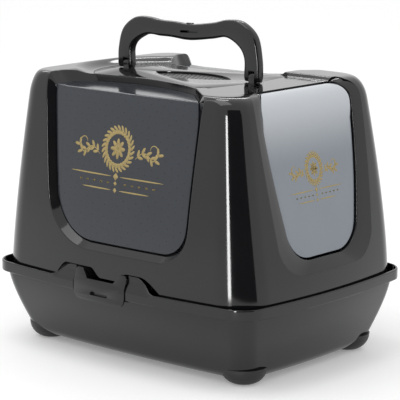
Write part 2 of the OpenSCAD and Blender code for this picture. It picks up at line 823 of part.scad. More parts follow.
tray();
foot(1, -1);  // foot_front_near
foot(1, 1);  // foot_front_far
foot(-1, -1);  // foot_rear_near
foot(-1, 1);  // foot_rear_far
latch();  // latch_near
mirror([0, 1, 0]) latch();  // latch_far
latch_pin();  // latch_pin_near
mirror([0, 1, 0]) latch_pin();  // latch_pin_far
hood();
top_deck();
window_panel(window_rear, window_front, 0);  // window_near
window_panel(far_rear, far_front, 1);  // window_far
entry_flap();
flap_pin();  // flap_pin_near
mirror([0, 1, 0]) flap_pin();  // flap_pin_far
filter_grille();
filter_pad();
filter_cup();
carry_handle();
handle_pin(post_front);  // handle_pin_front
handle_pin(post_rear);  // handle_pin_rear
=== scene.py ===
import math
import bpy
import bmesh
import numpy as np
from mathutils import Matrix, Vector


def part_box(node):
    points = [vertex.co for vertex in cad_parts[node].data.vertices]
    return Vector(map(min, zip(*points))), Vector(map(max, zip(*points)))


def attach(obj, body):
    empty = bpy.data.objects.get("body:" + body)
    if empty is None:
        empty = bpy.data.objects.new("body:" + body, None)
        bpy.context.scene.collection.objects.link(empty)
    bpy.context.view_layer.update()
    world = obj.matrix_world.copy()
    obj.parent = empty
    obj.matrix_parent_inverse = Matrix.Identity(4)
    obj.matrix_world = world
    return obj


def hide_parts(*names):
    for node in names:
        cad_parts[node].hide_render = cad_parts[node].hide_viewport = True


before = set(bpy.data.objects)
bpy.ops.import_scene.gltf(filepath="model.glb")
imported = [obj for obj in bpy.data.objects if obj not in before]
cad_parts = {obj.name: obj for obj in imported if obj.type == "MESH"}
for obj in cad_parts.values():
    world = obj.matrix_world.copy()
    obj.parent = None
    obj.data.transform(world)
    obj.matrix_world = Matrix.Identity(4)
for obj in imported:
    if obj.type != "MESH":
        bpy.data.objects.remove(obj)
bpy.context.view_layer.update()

# The hood shell: one moulding of glossy black plastic, 3 mm thick, standing in the tray's channel.
# Its plan is a rounded rectangle with bowed sides that leans in towards a rounded shoulder.
# It is lofted from close rings, and the windows, entry, deck seat and latch waves are cut out.
MM = 0.001
RIM_TOP = 117.7
HOOD_TOP = 387.4
HOOD_FOOT = 106.8
SHOULDER = 31.0
SHOULDER_POWER = 3.3
SHOULDER_Z = HOOD_TOP - SHOULDER
OVER_TOP = HOOD_TOP + 60.0
WALL = 3.0
# The plan's half sizes at the rim, its corners and bows, how far each wall leans in on its way up,
# and how far the shoulder then turns in.
HOOD_X = 243.1
HOOD_Y = 188.1
CORNER_R = 46.0
CORNER_LESS = 18.0
BOW_LONG = 15.4
BOW_SHORT = 14.5
REAR_LEAN = 38.0
FRONT_LEAN = 46.0
FRONT_CURVE = 1.2
SIDE_LEAN = 29.5
SIDE_CURVE = 1.46
REAR_TURN = 15.5
FRONT_TURN = 30.0
SIDE_TURN = 16.0
# The raised parts of the top, the deck let into it, and the bands beside the deck.
CROWN = 7.5
CROWN_X = -112.0
WING = 5.0
DECK_FRONT = 100.0
DECK_FRONT_R = 400.0
DECK_FRONT_HALF = 87.0
DECK_REAR_X = -67.0
DECK_REAR_R = 100.0
DECK_REAR_HALF = 78.0
TAB_X = 100.5
TAB_R = 12.0
BAND_Y = 70.0
BAND_R = 300.0
BAND_X = -50.0
BAND_GAP = 4.0
PAST_BAND = 1.2
# The side windows, whose fronts differ, their recesses' depth and the border round them.
WINDOW_LOW = 171.0
WINDOW_REAR = -119.0
REAR_R = 76.0
FRONT_R = 38.0
REAR_SLANT = 8.4
NEAR_FRONT = 130.0
FAR_FRONT = 102.0
RECESS = 12.0
LIP = 12.5
# The wave over each latch.
WAVE_HALF = 120.0
WAVE_TOP = 137.6
TONGUE_HALF = 34.0
TONGUE_TOP = 125.1
QUARTER = math.pi / 2


def ease(v):
    """Goes smoothly from 0 to 1 as v does."""
    u = np.clip(v, 0.0, 1.0)
    return u * u * (3 - 2 * u)


def plan_stations(corner, long_side, short_side):
    """Rows of corner signs and arc direction, once round the plan from the front far corner."""
    rows = []
    signs = [(1, 1), (-1, 1), (-1, -1), (1, -1)]
    for k, (sx, sy) in enumerate(signs):
        for a in np.linspace(k * QUARTER, (k + 1) * QUARTER, corner + 1):
            rows.append((sx, sy, math.cos(a), math.sin(a)))
        nx, ny = signs[(k + 1) % 4]
        count = long_side if k % 2 == 0 else short_side
        for t in np.linspace(0, 1, count + 1)[1:-1]:
            rows.append((sx + (nx - sx) * t, sy + (ny - sy) * t, rows[-1][2], rows[-1][3]))
    return np.array(rows)


def bowed_ring(st, xr, xf, b, r, keep):
    """Plan points of a rounded rectangle whose sides bow outwards."""
    sy, sx = BOW_SHORT * keep, BOW_LONG * keep
    a0, b0, cx = (xf + xr) / 2 - sy, b - sx, (xf - xr) / 2
    px = st[:, 0] * (a0 - r) + st[:, 2] * r
    py = st[:, 1] * (b0 - r) + st[:, 3] * r
    return np.stack([cx + px + sy * (px / a0) * (1 - (py / b0) ** 2),
                     py + sx * (py / b0) * (1 - (px / a0) ** 2)], 1)


def crown(x, y):
    """Rise of the crown behind the deck and of the wing in front of the far window."""
    behind = ease((np.hypot(x - DECK_REAR_X, y) - (DECK_REAR_R + 1)) / 28)
    beside = ease((y - BAND_Y - 12) / 10)
    return CROWN * ease((CROWN_X - x) / 40) * behind + WING * beside * ease((x - FAR_FRONT + 28) / 10)


def shoulder_turn(v):
    """Angle that the shoulder has turned by at v."""
    return min(QUARTER, max(0.0, (v - SHOULDER_Z) / SHOULDER))


def hood_height(v):
    """Height of the point that lies v mm up the wall, over the shoulder and onto the top."""
    bend = np.clip((v - SHOULDER_Z) / SHOULDER, 0, QUARTER)
    return np.minimum(v, SHOULDER_Z) + SHOULDER * np.sin(bend) ** (2 / SHOULDER_POWER)


V_TOP = SHOULDER_Z + SHOULDER * QUARTER


def hood_ring(st, v, d=0.0, shrink=1.0):
    """One ring of the hood at v, d mm inside its outer face."""
    z = float(hood_height(v))
    t = min(1, max(0, (z - RIM_TOP) / (HOOD_TOP - RIM_TOP)))
    bend = shoulder_turn(v)
    flat = max(0.0, math.cos(bend)) ** (2 / SHOULDER_POWER)
    up = 1.0
    if bend < QUARTER - 1e-6 and shrink == 1:
        m = math.tan(bend) ** (2 * (SHOULDER_POWER - 1) / SHOULDER_POWER)
        up = m / math.hypot(1, m)
    out = d * math.sqrt(1 - up * up)
    xr = HOOD_X - REAR_LEAN * t - REAR_TURN * (1 - flat) - out
    xf = HOOD_X - FRONT_LEAN * t ** FRONT_CURVE - FRONT_TURN * (1 - flat) - out
    b = HOOD_Y - SIDE_LEAN * t ** SIDE_CURVE - SIDE_TURN * (1 - flat) - out
    r = max(4, CORNER_R - CORNER_LESS * t - out)
    p = bowed_ring(st, xr, xf, b, r, 1 - 0.5 * t) * shrink
    raised = crown(p[:, 0], p[:, 1]) * up ** 2 * max(0.0, 1 - d / RECESS)
    return np.column_stack([p, z - d * up + raised])


def smooth(mesh, sharp):
    """Shades a mesh smooth, except over edges that turn by more than that angle."""
    mesh.shade_smooth()
    mesh.set_sharp_from_angle(angle=math.radians(sharp))


def face_outwards(mesh):
    """Turns the faces of a closed mesh outwards."""
    bm = bmesh.new()
    bm.from_mesh(mesh)
    bmesh.ops.recalc_face_normals(bm, faces=bm.faces)
    bm.to_mesh(mesh)
    bm.free()


def new_object(name, data):
    """An object of that mesh, lamp or camera in the scene."""
    obj = bpy.data.objects.new(name, data)
    bpy.context.scene.collection.objects.link(obj)
    return obj


def make_piece(name, verts, faces, sharp=40):
    """An object of that mesh, from points in mm."""
    mesh = bpy.data.meshes.new(name)
    mesh.from_pydata([tuple(p) for p in np.asarray(verts, float) * MM], [], faces)
    mesh.update()
    smooth(mesh, sharp)
    return new_object(name, mesh)


def loft(name, rings, sharp=40):
    """A closed skin through rings of equal length, with a flat cap at each end."""
    n = len(rings[0])
    faces = []
    for k in range(len(rings) - 1):
        for i in range(n):
            j = (i + 1) % n
            faces.append((k * n + i, k * n + j, (k + 1) * n + j, (k + 1) * n + i))
    last = (len(rings) - 1) * n
    faces.append(tuple(range(n - 1, -1, -1)))
    faces.append(tuple(range(last, last + n)))
    return make_piece(name, np.concatenate(rings), faces, sharp)


def prism(name, outline, axis, lo, hi):
    """A straight bar of that outline between two places along x, y or z, its faces outwards."""
    n = len(outline)
    pts = []
    for c in sorted((lo, hi)):
        for u, w in outline:
            pts.append({"x": (c, u, w), "y": (u, c, w), "z": (u, w, c)}[axis])
    faces = [(i, (i + 1) % n, n + (i + 1) % n, n + i) for i in range(n)]
    faces += [tuple(range(n - 1, -1, -1)), tuple(range(n, 2 * n))]
    obj = make_piece(name, pts, faces)
    face_outwards(obj.data)
    return obj


def finish_modifiers(obj):
    """Turns a piece and its modifiers into one plain mesh."""
    graph = bpy.context.evaluated_depsgraph_get()
    mesh = bpy.data.meshes.new_from_object(obj.evaluated_get(graph))
    obj.modifiers.clear()
    old, obj.data = obj.data, mesh
    bpy.data.meshes.remove(old)
    return obj


def boolean(obj, tools, operation="DIFFERENCE", sharp=40):
    """Cuts the tools from a piece, or joins or keeps what they share, and removes them."""
    for tool in tools:
        m = obj.modifiers.new("cut", "BOOLEAN")
        m.operation = operation
        m.solver = "MANIFOLD"
        m.object = tool
    finish_modifiers(obj)
    for tool in tools:
        bpy.data.objects.remove(tool)
    smooth(obj.data, sharp)
    return obj


def arc(cx, cy, r, a0, a1, n):
    """Points from angle a0 to a1 in degrees, in n steps."""
    a = np.radians(np.linspace(a0, a1, n + 1))
    return np.stack([cx + r * np.cos(a), cy + r * np.sin(a)], 1)


def band_line(x):
    """Inner end of the window recesses in plan, as a distance from the middle."""
    return BAND_Y + BAND_R - np.sqrt(BAND_R ** 2 - (x - BAND_X) ** 2)


def window_corners(g, front, rear_steps, front_steps):
    """A window's two lower corners, grown by g, and where its sides pass above the hood."""
    rear_arc = arc(WINDOW_REAR + REAR_R, WINDOW_LOW + REAR_R, REAR_R + g,
                   180 + REAR_SLANT, 268, rear_steps)
    front_arc = arc(front - 6 - FRONT_R, WINDOW_LOW + FRONT_R, FRONT_R + g, 272, 357, front_steps)
    run = (OVER_TOP - WINDOW_LOW - REAR_R) * math.tan(math.radians(REAR_SLANT))
    return rear_arc, front_arc, WINDOW_REAR - g - run, front + 4 + g


def window_outline(g, front):
    """A window's closed outline, grown by g, that reaches above the hood."""
    rear_arc, front_arc, rear_top, front_top = window_corners(g, front, 22, 16)
    return np.concatenate([rear_arc, front_arc, [(front_top, OVER_TOP), (rear_top, OVER_TOP)]])


def slanted_ends(g, front):
    """For each end of a recess, rear first: where it meets the band, and a point far out on it."""
    return ((WINDOW_REAR - 1 - 0.7 * g, (WINDOW_REAR - 32 - g, 143)),
            (front - 56 + 0.7 * g, (front + 6 + g, 156)))


def recess_plan(g, inner, front):
    """Plan of a recess on the near side: a wide arc beside the deck, then slanted ends."""
    (rear_x, (rear_out, rear_y)), (front_x, (front_out, front_y)) = slanted_ends(g, front)
    xs = np.linspace(rear_x, front_x, 60)
    return np.concatenate([
        np.column_stack([xs, inner - band_line(xs)]),
        [(front_out, -front_y), (front + 60, -210), (WINDOW_REAR - 60, -210), (rear_out, -rear_y)]])


# Each entry outline is its half width, the height of its foot, its corners' radius and how much
# narrower it is at the foot. Its crest is the radius that its top corners turn in by, and its top.
FLAP = (96.0, 165.0, 45.0, 21.0)
SURROUND = (116.5, 146.0, 50.0, 12.5)
FLAP_TOP = HOOD_TOP - 1.5
CREST = {FLAP: (22.0, FLAP_TOP), SURROUND: (24.0, HOOD_TOP + 4)}
CORNER_END = 12.8
SIDE_LOW = 205.0
SIDE_HIGH = HOOD_TOP - 30


def entry_side(z, half, bottom, r, flare):
    """Half width of the entry outline at height z above its corner."""
    low = bottom + r - r * math.sin(math.radians(CORNER_END))
    u = np.clip((SIDE_HIGH - z) / (SIDE_HIGH - low), 0, 1)
    return half - flare * u ** 1.6


def entry_outline(g, shape, heights):
    """Right half of the entry outline as (y, z), from the middle of its foot to the given heights."""
    half, bottom, r, flare = shape
    cy = half - flare - r * math.cos(math.radians(CORNER_END))
    corner = arc(cy, bottom + r, r + g, -90, -CORNER_END, 20)
    foot = np.column_stack([np.linspace(0, cy, 8)[:-1], np.full(7, bottom - g)])
    rows = np.asarray(heights)
    turn, top = CREST[shape]
    rise = np.clip((rows - top + turn) / turn, 0, 1)
    tuck = turn * (1 - np.sqrt(1 - rise ** 2))
    side = np.column_stack([entry_side(rows, *shape) + g - tuck, rows])
    return np.concatenate([foot, corner, side])


def both_halves(half):
    """A closed outline from its right half."""
    return np.concatenate([half, half[:0:-1] * [-1, 1]])


def deck_outline(g):
    """Plan of the deck, grown by g: an arc at each end, and sides that follow the bands."""
    front = math.degrees(math.asin(DECK_FRONT_HALF / DECK_FRONT_R))
    rear = math.degrees(math.asin(DECK_REAR_HALF / DECK_REAR_R))
    xs = np.linspace(75, -125, 41)
    return np.concatenate([
        arc(DECK_FRONT - DECK_FRONT_R, 0, DECK_FRONT_R + g, -front, front, 30),
        np.column_stack([xs, band_line(xs) - BAND_GAP + g]),
        arc(DECK_REAR_X, 0, DECK_REAR_R + g, 180 - rear, 180 + rear, 30),
        np.column_stack([xs[::-1], -band_line(xs[::-1]) + BAND_GAP - g])])


def wave_outline():
    """The hood's lower edge above a latch: a wave with a tongue in its middle."""
    xs = np.linspace(-WAVE_HALF, WAVE_HALF, 161)
    wave = np.minimum(ease((xs + WAVE_HALF) / 38), ease((WAVE_HALF - xs) / 64))
    tongue = ease((TONGUE_HALF - np.abs(xs + 1)) / 20)
    z = HOOD_FOOT - 1 + wave * (WAVE_TOP - HOOD_FOOT + 1) - tongue * (WAVE_TOP - TONGUE_TOP)
    return np.concatenate([[(-WAVE_HALF, 0)], np.column_stack([xs, z]), [(WAVE_HALF, 0)]])


def recess_cutter(name, front, side):
    """Prism of a window recess and its border, from outside the wall in to just past the band."""
    bar = prism(name, window_outline(LIP, front), "y", side * 210.0, side * 40.0)
    plan = recess_plan(LIP, PAST_BAND, front) * [1, -side]
    return boolean(bar, [prism("recess plan", plan, "z", 100, 460)], "INTERSECT")


def add_node(tree, kind, inputs=None, **settings):
    """A new node with its settings and the values of its inputs."""
    made = tree.nodes.new(kind)
    for key, value in settings.items():
        setattr(made, key, value)
    for label, value in (inputs or {}).items():
        made.inputs[label].default_value = value
    return made


def wire(tree, *runs):
    """Links each run's first node and output to its second node and input."""
    for first, output, second, entry in runs:
        tree.links.new(first.outputs[output], second.inputs[entry])


def moulded(name, color, other, rough, grain=0.02):
    """A moulded finish: two close colours in soft clouds, uneven gloss and a fine mould grain."""
    mat = bpy.data.materials.new(name)
    mat.use_nodes = True
    tree = mat.node_tree
    shader = tree.nodes["Principled BSDF"]
    shader.inputs["IOR"].default_value = 1.5
    coord = add_node(tree, "ShaderNodeTexCoord")
    cloud = add_node(tree, "ShaderNodeTexNoise", {"Scale": 14.0, "Detail": 3.0})
    mix = add_node(tree, "ShaderNodeMix", {6: (*color, 1), 7: (*other, 1)}, data_type="RGBA",
                   name="body colour")
    gloss = add_node(tree, "ShaderNodeMapRange",
                     {"From Min": 0.3, "From Max": 0.7, "To Min": rough[0], "To Max": rough[1]})
    fine = add_node(tree, "ShaderNodeTexNoise", {"Scale": 900.0})
    bump = add_node(tree, "ShaderNodeBump", {"Strength": grain, "Distance": 0.0002})
    wire(tree, (coord, "Object", cloud, "Vector"), (coord, "Object", fine, "Vector"),
         (cloud, "Fac", mix, 0), (mix, 2, shader, "Base Color"),
         (cloud, "Fac", gloss, "Value"), (gloss, "Result", shader, "Roughness"),
         (fine, "Fac", bump, "Height"), (bump, "Normal", shader, "Normal"))
    return mat


def mix_over(tree, share, color):
    """Lays a colour over a finish's body colour, as much as a Map Range node says."""
    mix = add_node(tree, "ShaderNodeMix", {7: (*color, 1)}, data_type="RGBA")
    wire(tree, (share, "Result", mix, 0), (tree.nodes["body colour"], 2, mix, 6),
         (mix, 2, tree.nodes["Principled BSDF"], "Base Color"))


def dress(obj, mat):
    """Gives every face of a piece one finish."""
    obj.data.materials.clear()
    obj.data.materials.append(mat)


shell_plastic = moulded("glossy black plastic", (0.006, 0.006, 0.007), (0.009, 0.009, 0.010), (0.07, 0.11))
shell_plan = plan_stations(18, 72, 52)
wall_rows = np.concatenate([[RIM_TOP], np.linspace(128, SHOULDER_Z, 26),
                            np.linspace(SHOULDER_Z, V_TOP, 22)[1:]])
top_rows = tuple(np.linspace(0.985, 0.55, 30))
foot_ring = hood_ring(shell_plan, RIM_TOP)
foot_ring[:, 2] = HOOD_FOOT
hood = loft("hood_shell", [foot_ring] + [hood_ring(shell_plan, v) for v in wall_rows]
            + [hood_ring(shell_plan, V_TOP, 0, s) for s in top_rows])
inner_foot = hood_ring(shell_plan, RIM_TOP, WALL)
inner_foot[:, 2] = HOOD_FOOT - 5
hollow = loft("hollow", [inner_foot] + [hood_ring(shell_plan, v, WALL) for v in wall_rows[::2]]
              + [hood_ring(shell_plan, V_TOP, WALL, s) for s in (1.0,) + top_rows[::6]])
entry_rows = np.concatenate([np.linspace(SIDE_LOW, SIDE_HIGH, 40),
                             np.linspace(SIDE_HIGH + 1, HOOD_TOP + 3, 24)])
entry_half = entry_outline(0, SURROUND, entry_rows)
entry_cut = both_halves(np.concatenate([entry_half, [(entry_half[-1, 0], OVER_TOP)]]))
tab_seat = TAB_R + 0.3
cuts = [hollow,
        recess_cutter("near recess", NEAR_FRONT, -1),
        recess_cutter("far recess", FAR_FRONT, 1),
        prism("entry", entry_cut, "x", 164.6, 260),
        prism("deck seat", deck_outline(0.9), "z", HOOD_TOP - WALL - 2, OVER_TOP),
        prism("tab seat", np.concatenate([arc(TAB_X, 0, tab_seat, -90, 90, 24),
                                          [(60, tab_seat), (60, -tab_seat)]]),
              "z", HOOD_TOP - WALL - 2, OVER_TOP)]
for side in (-1, 1):
    cuts.append(prism("wave", wave_outline(), "y", side * 130.0, side * 230.0))
boolean(hood, cuts)
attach(hood, "hood")
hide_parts("hood")
dress(hood, shell_plastic)

# The window recesses: stepped borders moulded into the hood round each side window, which run
# over the shoulder to a raised band beside the deck. Each is a strip of close loops that follows
# the window's outline, with its edges rolled, and a rolled wall along the band.
TOP_RUN = 60.0
fine_plan = plan_stations(40, 120, 90)
ring_cache = {}


def cached_ring(v, d):
    """A finely divided ring of the hood, made once for each place."""
    key = (round(float(v), 3), round(float(d), 3))
    if key not in ring_cache:
        ring_cache[key] = hood_ring(fine_plan, key[0], key[1])
    return ring_cache[key]


def side_point(x, v, d, side):
    """Point of the long wall or shoulder at x, d mm inside the hood's face."""
    ring = cached_ring(min(v, V_TOP), d)
    half = ring[ring[:, 1] * side >= 0]
    half = half[np.argsort(half[:, 0])]
    return (x, np.interp(x, half[:, 0], half[:, 1]), np.interp(x, half[:, 0], half[:, 2]))


def fillet(points, radii, n=4):
    """Rounds the inner corners of a polyline with short curves of n steps."""
    p = [np.asarray(q, float) for q in points]
    out = [p[0]]
    for k in range(1, len(p) - 1):
        a, b, c = p[k - 1], p[k], p[k + 1]
        la, lc = np.linalg.norm(a - b), np.linalg.norm(c - b)
        ra, rc = min(radii[k - 1], la * 0.48), min(radii[k - 1], lc * 0.48)
        s, e = b + (a - b) * ra / la, b + (c - b) * rc / lc
        for t in np.linspace(0, 1, n + 1):
            out.append(s * (1 - t) ** 2 + 2 * b * t * (1 - t) + e * t * t)
    out.append(p[-1])
    return np.array(out)


def top_height(x, y, d):
    """Height of the flat top at depth d, with the crown and wing fading out by the recess floor."""
    return HOOD_TOP - d + crown(x, y) * max(0.0, 1 - d / RECESS)


def window_loop(g, d, front, side, inner=0.0):
    """Points round a window at distance g and depth d, open along the band, and their levels."""
    rear_arc, front_arc, rear_top, front_top = window_corners(g, front, 30, 22)
    rear_end, front_end = slanted_ends(g, front)
    branches = []
    for (x0, z0), x1, (x_end, (xs, ys)), sign in ((rear_arc[0], rear_top, rear_end, 1),
                                                  (front_arc[-1], front_top, front_end, -1)):
        y_band = float(band_line(x_end))
        y_end = y_band + inner

        def edge(y, z):
            """The window's side and the slanted end, blended where they meet."""
            up = x0 + (x1 - x0) * (z - z0) / (OVER_TOP - z0)
            slant = x_end + (xs - x_end) * (y - y_band) / (ys - y_band)
            return 0.5 * (up + slant + sign * math.hypot(up - slant, 2.0)) - sign * 0.4

        rows, x = [], x0
        for v in np.concatenate([np.linspace(z0, SHOULDER_Z, 24)[1:],
                                 np.linspace(SHOULDER_Z, V_TOP, 24)[1:]]):
            for _ in range(3):
                _, y, z = side_point(x, v, d, side)
                x = edge(abs(y), z)
            rows.append((*side_point(x, v, d, side), v))
        y_edge = abs(rows[-1][1])
        for f in np.linspace(0, 1, 20)[1:]:
            y = y_edge + (y_end - y_edge) * f
            x = edge(y, HOOD_TOP - d)
            rows.append((x, side * y, float(top_height(x, np.array(side * y), d)), V_TOP + TOP_RUN * f))
        branches.append(rows)
    low = [(*side_point(x, z, d, side), z) for x, z in
           np.concatenate([rear_arc, np.linspace(rear_arc[-1], front_arc[0], 40)[1:-1], front_arc])]
    return np.array(branches[0][::-1] + low + branches[1])


def thicken(obj, thick):
    """Gives a sheet its thickness, away from the side that it faces."""
    m = obj.modifiers.new("wall", "SOLIDIFY")
    m.thickness = thick * MM
    m.offset = -1
    finish_modifiers(obj)


def strip(name, grid, thick, outward):
    """A sheet of quads between loops, thickened away from the outward direction."""
    rows, cols = len(grid), len(grid[0])
    faces = [(k * cols + i, k * cols + i + 1, (k + 1) * cols + i + 1, (k + 1) * cols + i)
             for k in range(rows - 1) for i in range(cols - 1)]
    obj = make_piece(name, np.concatenate(grid), faces, 60)
    normal = sum((Vector(p.normal) for p in obj.data.polygons), Vector())
    if normal.dot(Vector(outward)) < 0:
        obj.data.flip_normals()
    thicken(obj, thick)
    smooth(obj.data, 60)
    return obj


# The border's section, as distances from the window and depths.
STEP = fillet([(LIP + 1.6, 0.25), (LIP - 0.4, 0), (9.8, 0), (8.6, 1.6), (2.2, 9.2),
               (0.4, RECESS), (-14, RECESS)], [0.2, 1.0, 1.2, 1.4, 1.4], 4)
for name, front, side in (("near", NEAR_FRONT, -1), ("far", FAR_FRONT, 1)):
    loops = [window_loop(g, d, front, side)[:, :3] for g, d in STEP]
    recess = strip("window_recess_" + name, loops, 2.0, (0, side, 0.3))
    xs = np.linspace(WINDOW_REAR - 11, front - 45, 90)
    rows = []
    for o, d in fillet([(1.6, 0), (0, 0), (0, 14)], [1.3], 5):
        y = side * (band_line(xs) - o)
        rows.append(np.column_stack([xs, y, HOOD_TOP - d + crown(xs, y)]))
    band = strip("window_band_" + name, rows, 2.0, (0, side, 0.3))
    for part in (recess, band):
        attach(part, "hood")
        dress(part, shell_plastic)

# The entry surround: the sloping border moulded into the hood's front round the flap. It falls
# from a rolled outer edge on the bowed wall to a thin lip beside the flap.
FLAP_SUNK = 12.0
PIVOT = (HOOD_X - 60, HOOD_TOP - 37)
BEND_Z = PIVOT[1] - 12
FLAP_TOP_X = 170.6


def flap_face_x(z):
    """Place of the flap's outer face below its bend, set in from the hood's front wall."""
    t = np.clip((z - RIM_TOP) / (HOOD_TOP - RIM_TOP), 0, 1)
    return HOOD_X - FRONT_LEAN * t ** FRONT_CURVE - FLAP_SUNK


def flap_profile(w):
    """Point (x, z) of the flap's side view; w is the height up to the bend, then the turn angle."""
    if w <= BEND_Z:
        return (float(flap_face_x(w)), w)
    a = math.radians(min(90.0, w - BEND_Z))
    rx, rz = float(flap_face_x(BEND_Z)) - FLAP_TOP_X, FLAP_TOP - BEND_Z
    return (FLAP_TOP_X + rx * max(0.0, math.cos(a)) ** 0.8, BEND_Z + rz * math.sin(a) ** 0.8)


def front_point(y, v, d):
    """Point of the front wall or shoulder at y, d mm inside the hood's face."""
    ring = cached_ring(min(v, V_TOP), d)
    half = ring[ring[:, 0] > -20]
    half = half[np.argsort(half[:, 1])]
    return (np.interp(y, half[:, 1], half[:, 0]), y, np.interp(y, half[:, 1], half[:, 2]))


def entry_loop(g, shape, rows):
    """Whole entry outline as (y, v), from the near top round the foot to the far top."""
    half = entry_outline(g, shape, hood_height(rows))
    half[-len(rows):, 1] = rows
    return np.concatenate([half[:0:-1] * [-1, 1], half])


rise = np.concatenate([np.linspace(SIDE_LOW, SHOULDER_Z, 30), np.linspace(SHOULDER_Z, V_TOP - 1, 30)[1:]])
outer = entry_loop(0, SURROUND, rise)
outer_far = entry_loop(3.2, SURROUND, rise)
inner = entry_loop(2.9, FLAP, rise)
columns = []
for (yo, vo), (yf, vf), (yi, vi) in zip(outer, outer_far, inner):
    a = np.array(front_point(yf, vf, 0))
    b = np.array(front_point(yo, vo, 0))
    z = float(hood_height(vi))
    angle = vi if z <= BEND_Z else BEND_Z + math.degrees(math.asin(
        min(1, (z - BEND_Z) / (FLAP_TOP - BEND_Z)) ** 1.25))
    fx, _ = flap_profile(angle)
    proud = 1.0 + 2.2 * float(1 - ease((z - 335) / 25))
    c = np.array([fx + proud, yi, z])
    d = c + [-4.3 - proud, 0, 0]
    columns.append(fillet([a, b, b + (c - b) * 0.5, c, d], [2.4, 0.1, 1.2], 4))
grid = [np.array([col[k] for col in columns]) for k in range(len(columns[0]))]
surround = strip("entry_surround", grid, 2.0, (1, 0, 0.2))
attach(surround, "hood")
dress(surround, shell_plastic)

# The side windows: smoked translucent panels of 2.2 mm plastic, snapped into the recesses and
# bent over the shoulder. Each is a mapped sheet with rounded edges.
def round_edges(obj, width, segments, sharp):
    """Rounds the edges that turn by more than 50 degrees."""
    m = obj.modifiers.new("edges", "BEVEL")
    m.width = width * MM
    m.segments = segments
    m.limit_method = "ANGLE"
    m.angle_limit = math.radians(50)
    finish_modifiers(obj)
    smooth(obj.data, sharp)


PANEL_DEPTH = 9.5
PANEL_THICK = 2.2
PANEL_FOOT = 75
ACROSS = 64


def window_sheet(name, front, side):
    """A side panel, mapped level by level from its foot over the shoulder to the band."""
    d, gap = PANEL_DEPTH, 1.0
    loop = window_loop(-gap, d, front, side, gap)
    low = loop[:, 3].min()
    split = int(np.flatnonzero(loop[:, 3] < low + 0.05).mean())
    ends = (loop[:split + 1][::-1], loop[split:])
    levels = [low + 0.05 + PANEL_FOOT * (1 - math.cos(a)) for a in np.linspace(0, QUARTER, 28)]
    levels += list(np.linspace(low + PANEL_FOOT, SHOULDER_Z, 24)[1:])
    levels += list(np.linspace(SHOULDER_Z, V_TOP, 24)[1:])
    levels += list(np.linspace(V_TOP, V_TOP + TOP_RUN, 16)[1:])
    rows = []
    for v in levels:
        (xl, yl), (xr, yr) = [[np.interp(v, e[:, 3], e[:, k]) for k in (0, 1)] for e in ends]
        xs = np.linspace(xl, xr, ACROSS)
        row = np.array([side_point(x, min(v, V_TOP), d, side) for x in xs])
        if v > V_TOP:
            f = (v - V_TOP) / TOP_RUN
            y = row[:, 1] + (side * (band_line(xs) + gap) - row[:, 1]) * f
            slip = np.linspace(0, 1, ACROSS)
            row[:, 1] = y + (yl - y[0]) * (1 - slip) + (yr - y[-1]) * slip
            row[:, 2] = top_height(xs, row[:, 1], d)
        rows.append(row)
    sheet = strip(name, rows, PANEL_THICK, (0, side, 0.3))
    round_edges(sheet, 0.7, 3, 50)
    return sheet


def add_dots(mat, across, up, radius, color):
    """Prints small dark dots in a diamond lattice over a side panel's body colour. The lattice
    runs along X and Z, and on the flat top it goes on inwards."""
    tree = mat.node_tree
    coord = add_node(tree, "ShaderNodeTexCoord")
    split = add_node(tree, "ShaderNodeSeparateXYZ")
    inward = add_node(tree, "ShaderNodeMath", operation="ABSOLUTE")
    along = add_node(tree, "ShaderNodeMath", operation="SUBTRACT")
    flat = add_node(tree, "ShaderNodeCombineXYZ")
    wire(tree, (coord, "Object", split, 0), (split, "Y", inward, 0), (split, "Z", along, 0),
         (inward, 0, along, 1), (split, "X", flat, "X"), (along, 0, flat, "Z"))
    near = add_node(tree, "ShaderNodeMath", operation="MINIMUM")
    for k, shift in enumerate((0.0, 0.5)):
        start = 20 + shift
        place = add_node(tree, "ShaderNodeMapping",
                         {"Location": (start, start, start), "Scale": (1 / across, 0, 1 / up)})
        wire(tree, (flat, "Vector", place, "Vector"))
        last = place
        for kind, value in (("FRACTION", None), ("SUBTRACT", (0.5, 0, 0.5)),
                            ("MULTIPLY", (across, 0, up)), ("LENGTH", None)):
            step = add_node(tree, "ShaderNodeVectorMath", {1: value} if value else None, operation=kind)
            wire(tree, (last, "Vector", step, 0))
            last = step
        wire(tree, (last, "Value", near, k))
    inside = add_node(tree, "ShaderNodeMapRange", {"From Min": radius, "From Max": radius * 0.7})
    wire(tree, (near, 0, inside, "Value"))
    mix_over(tree, inside, color)


window_plastic = moulded("smoked side panel", (0.022, 0.026, 0.034), (0.028, 0.033, 0.043), (0.10, 0.15))
add_dots(window_plastic, 0.023, 0.018, 0.0013, (0.012, 0.014, 0.017))
window_near = window_sheet("window_near_panel", NEAR_FRONT, -1)
window_far = window_sheet("window_far_panel", FAR_FRONT, 1)
for panel, node in ((window_near, "window_near"), (window_far, "window_far")):
    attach(panel, "hood")
    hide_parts(node)
    dress(panel, window_plastic)

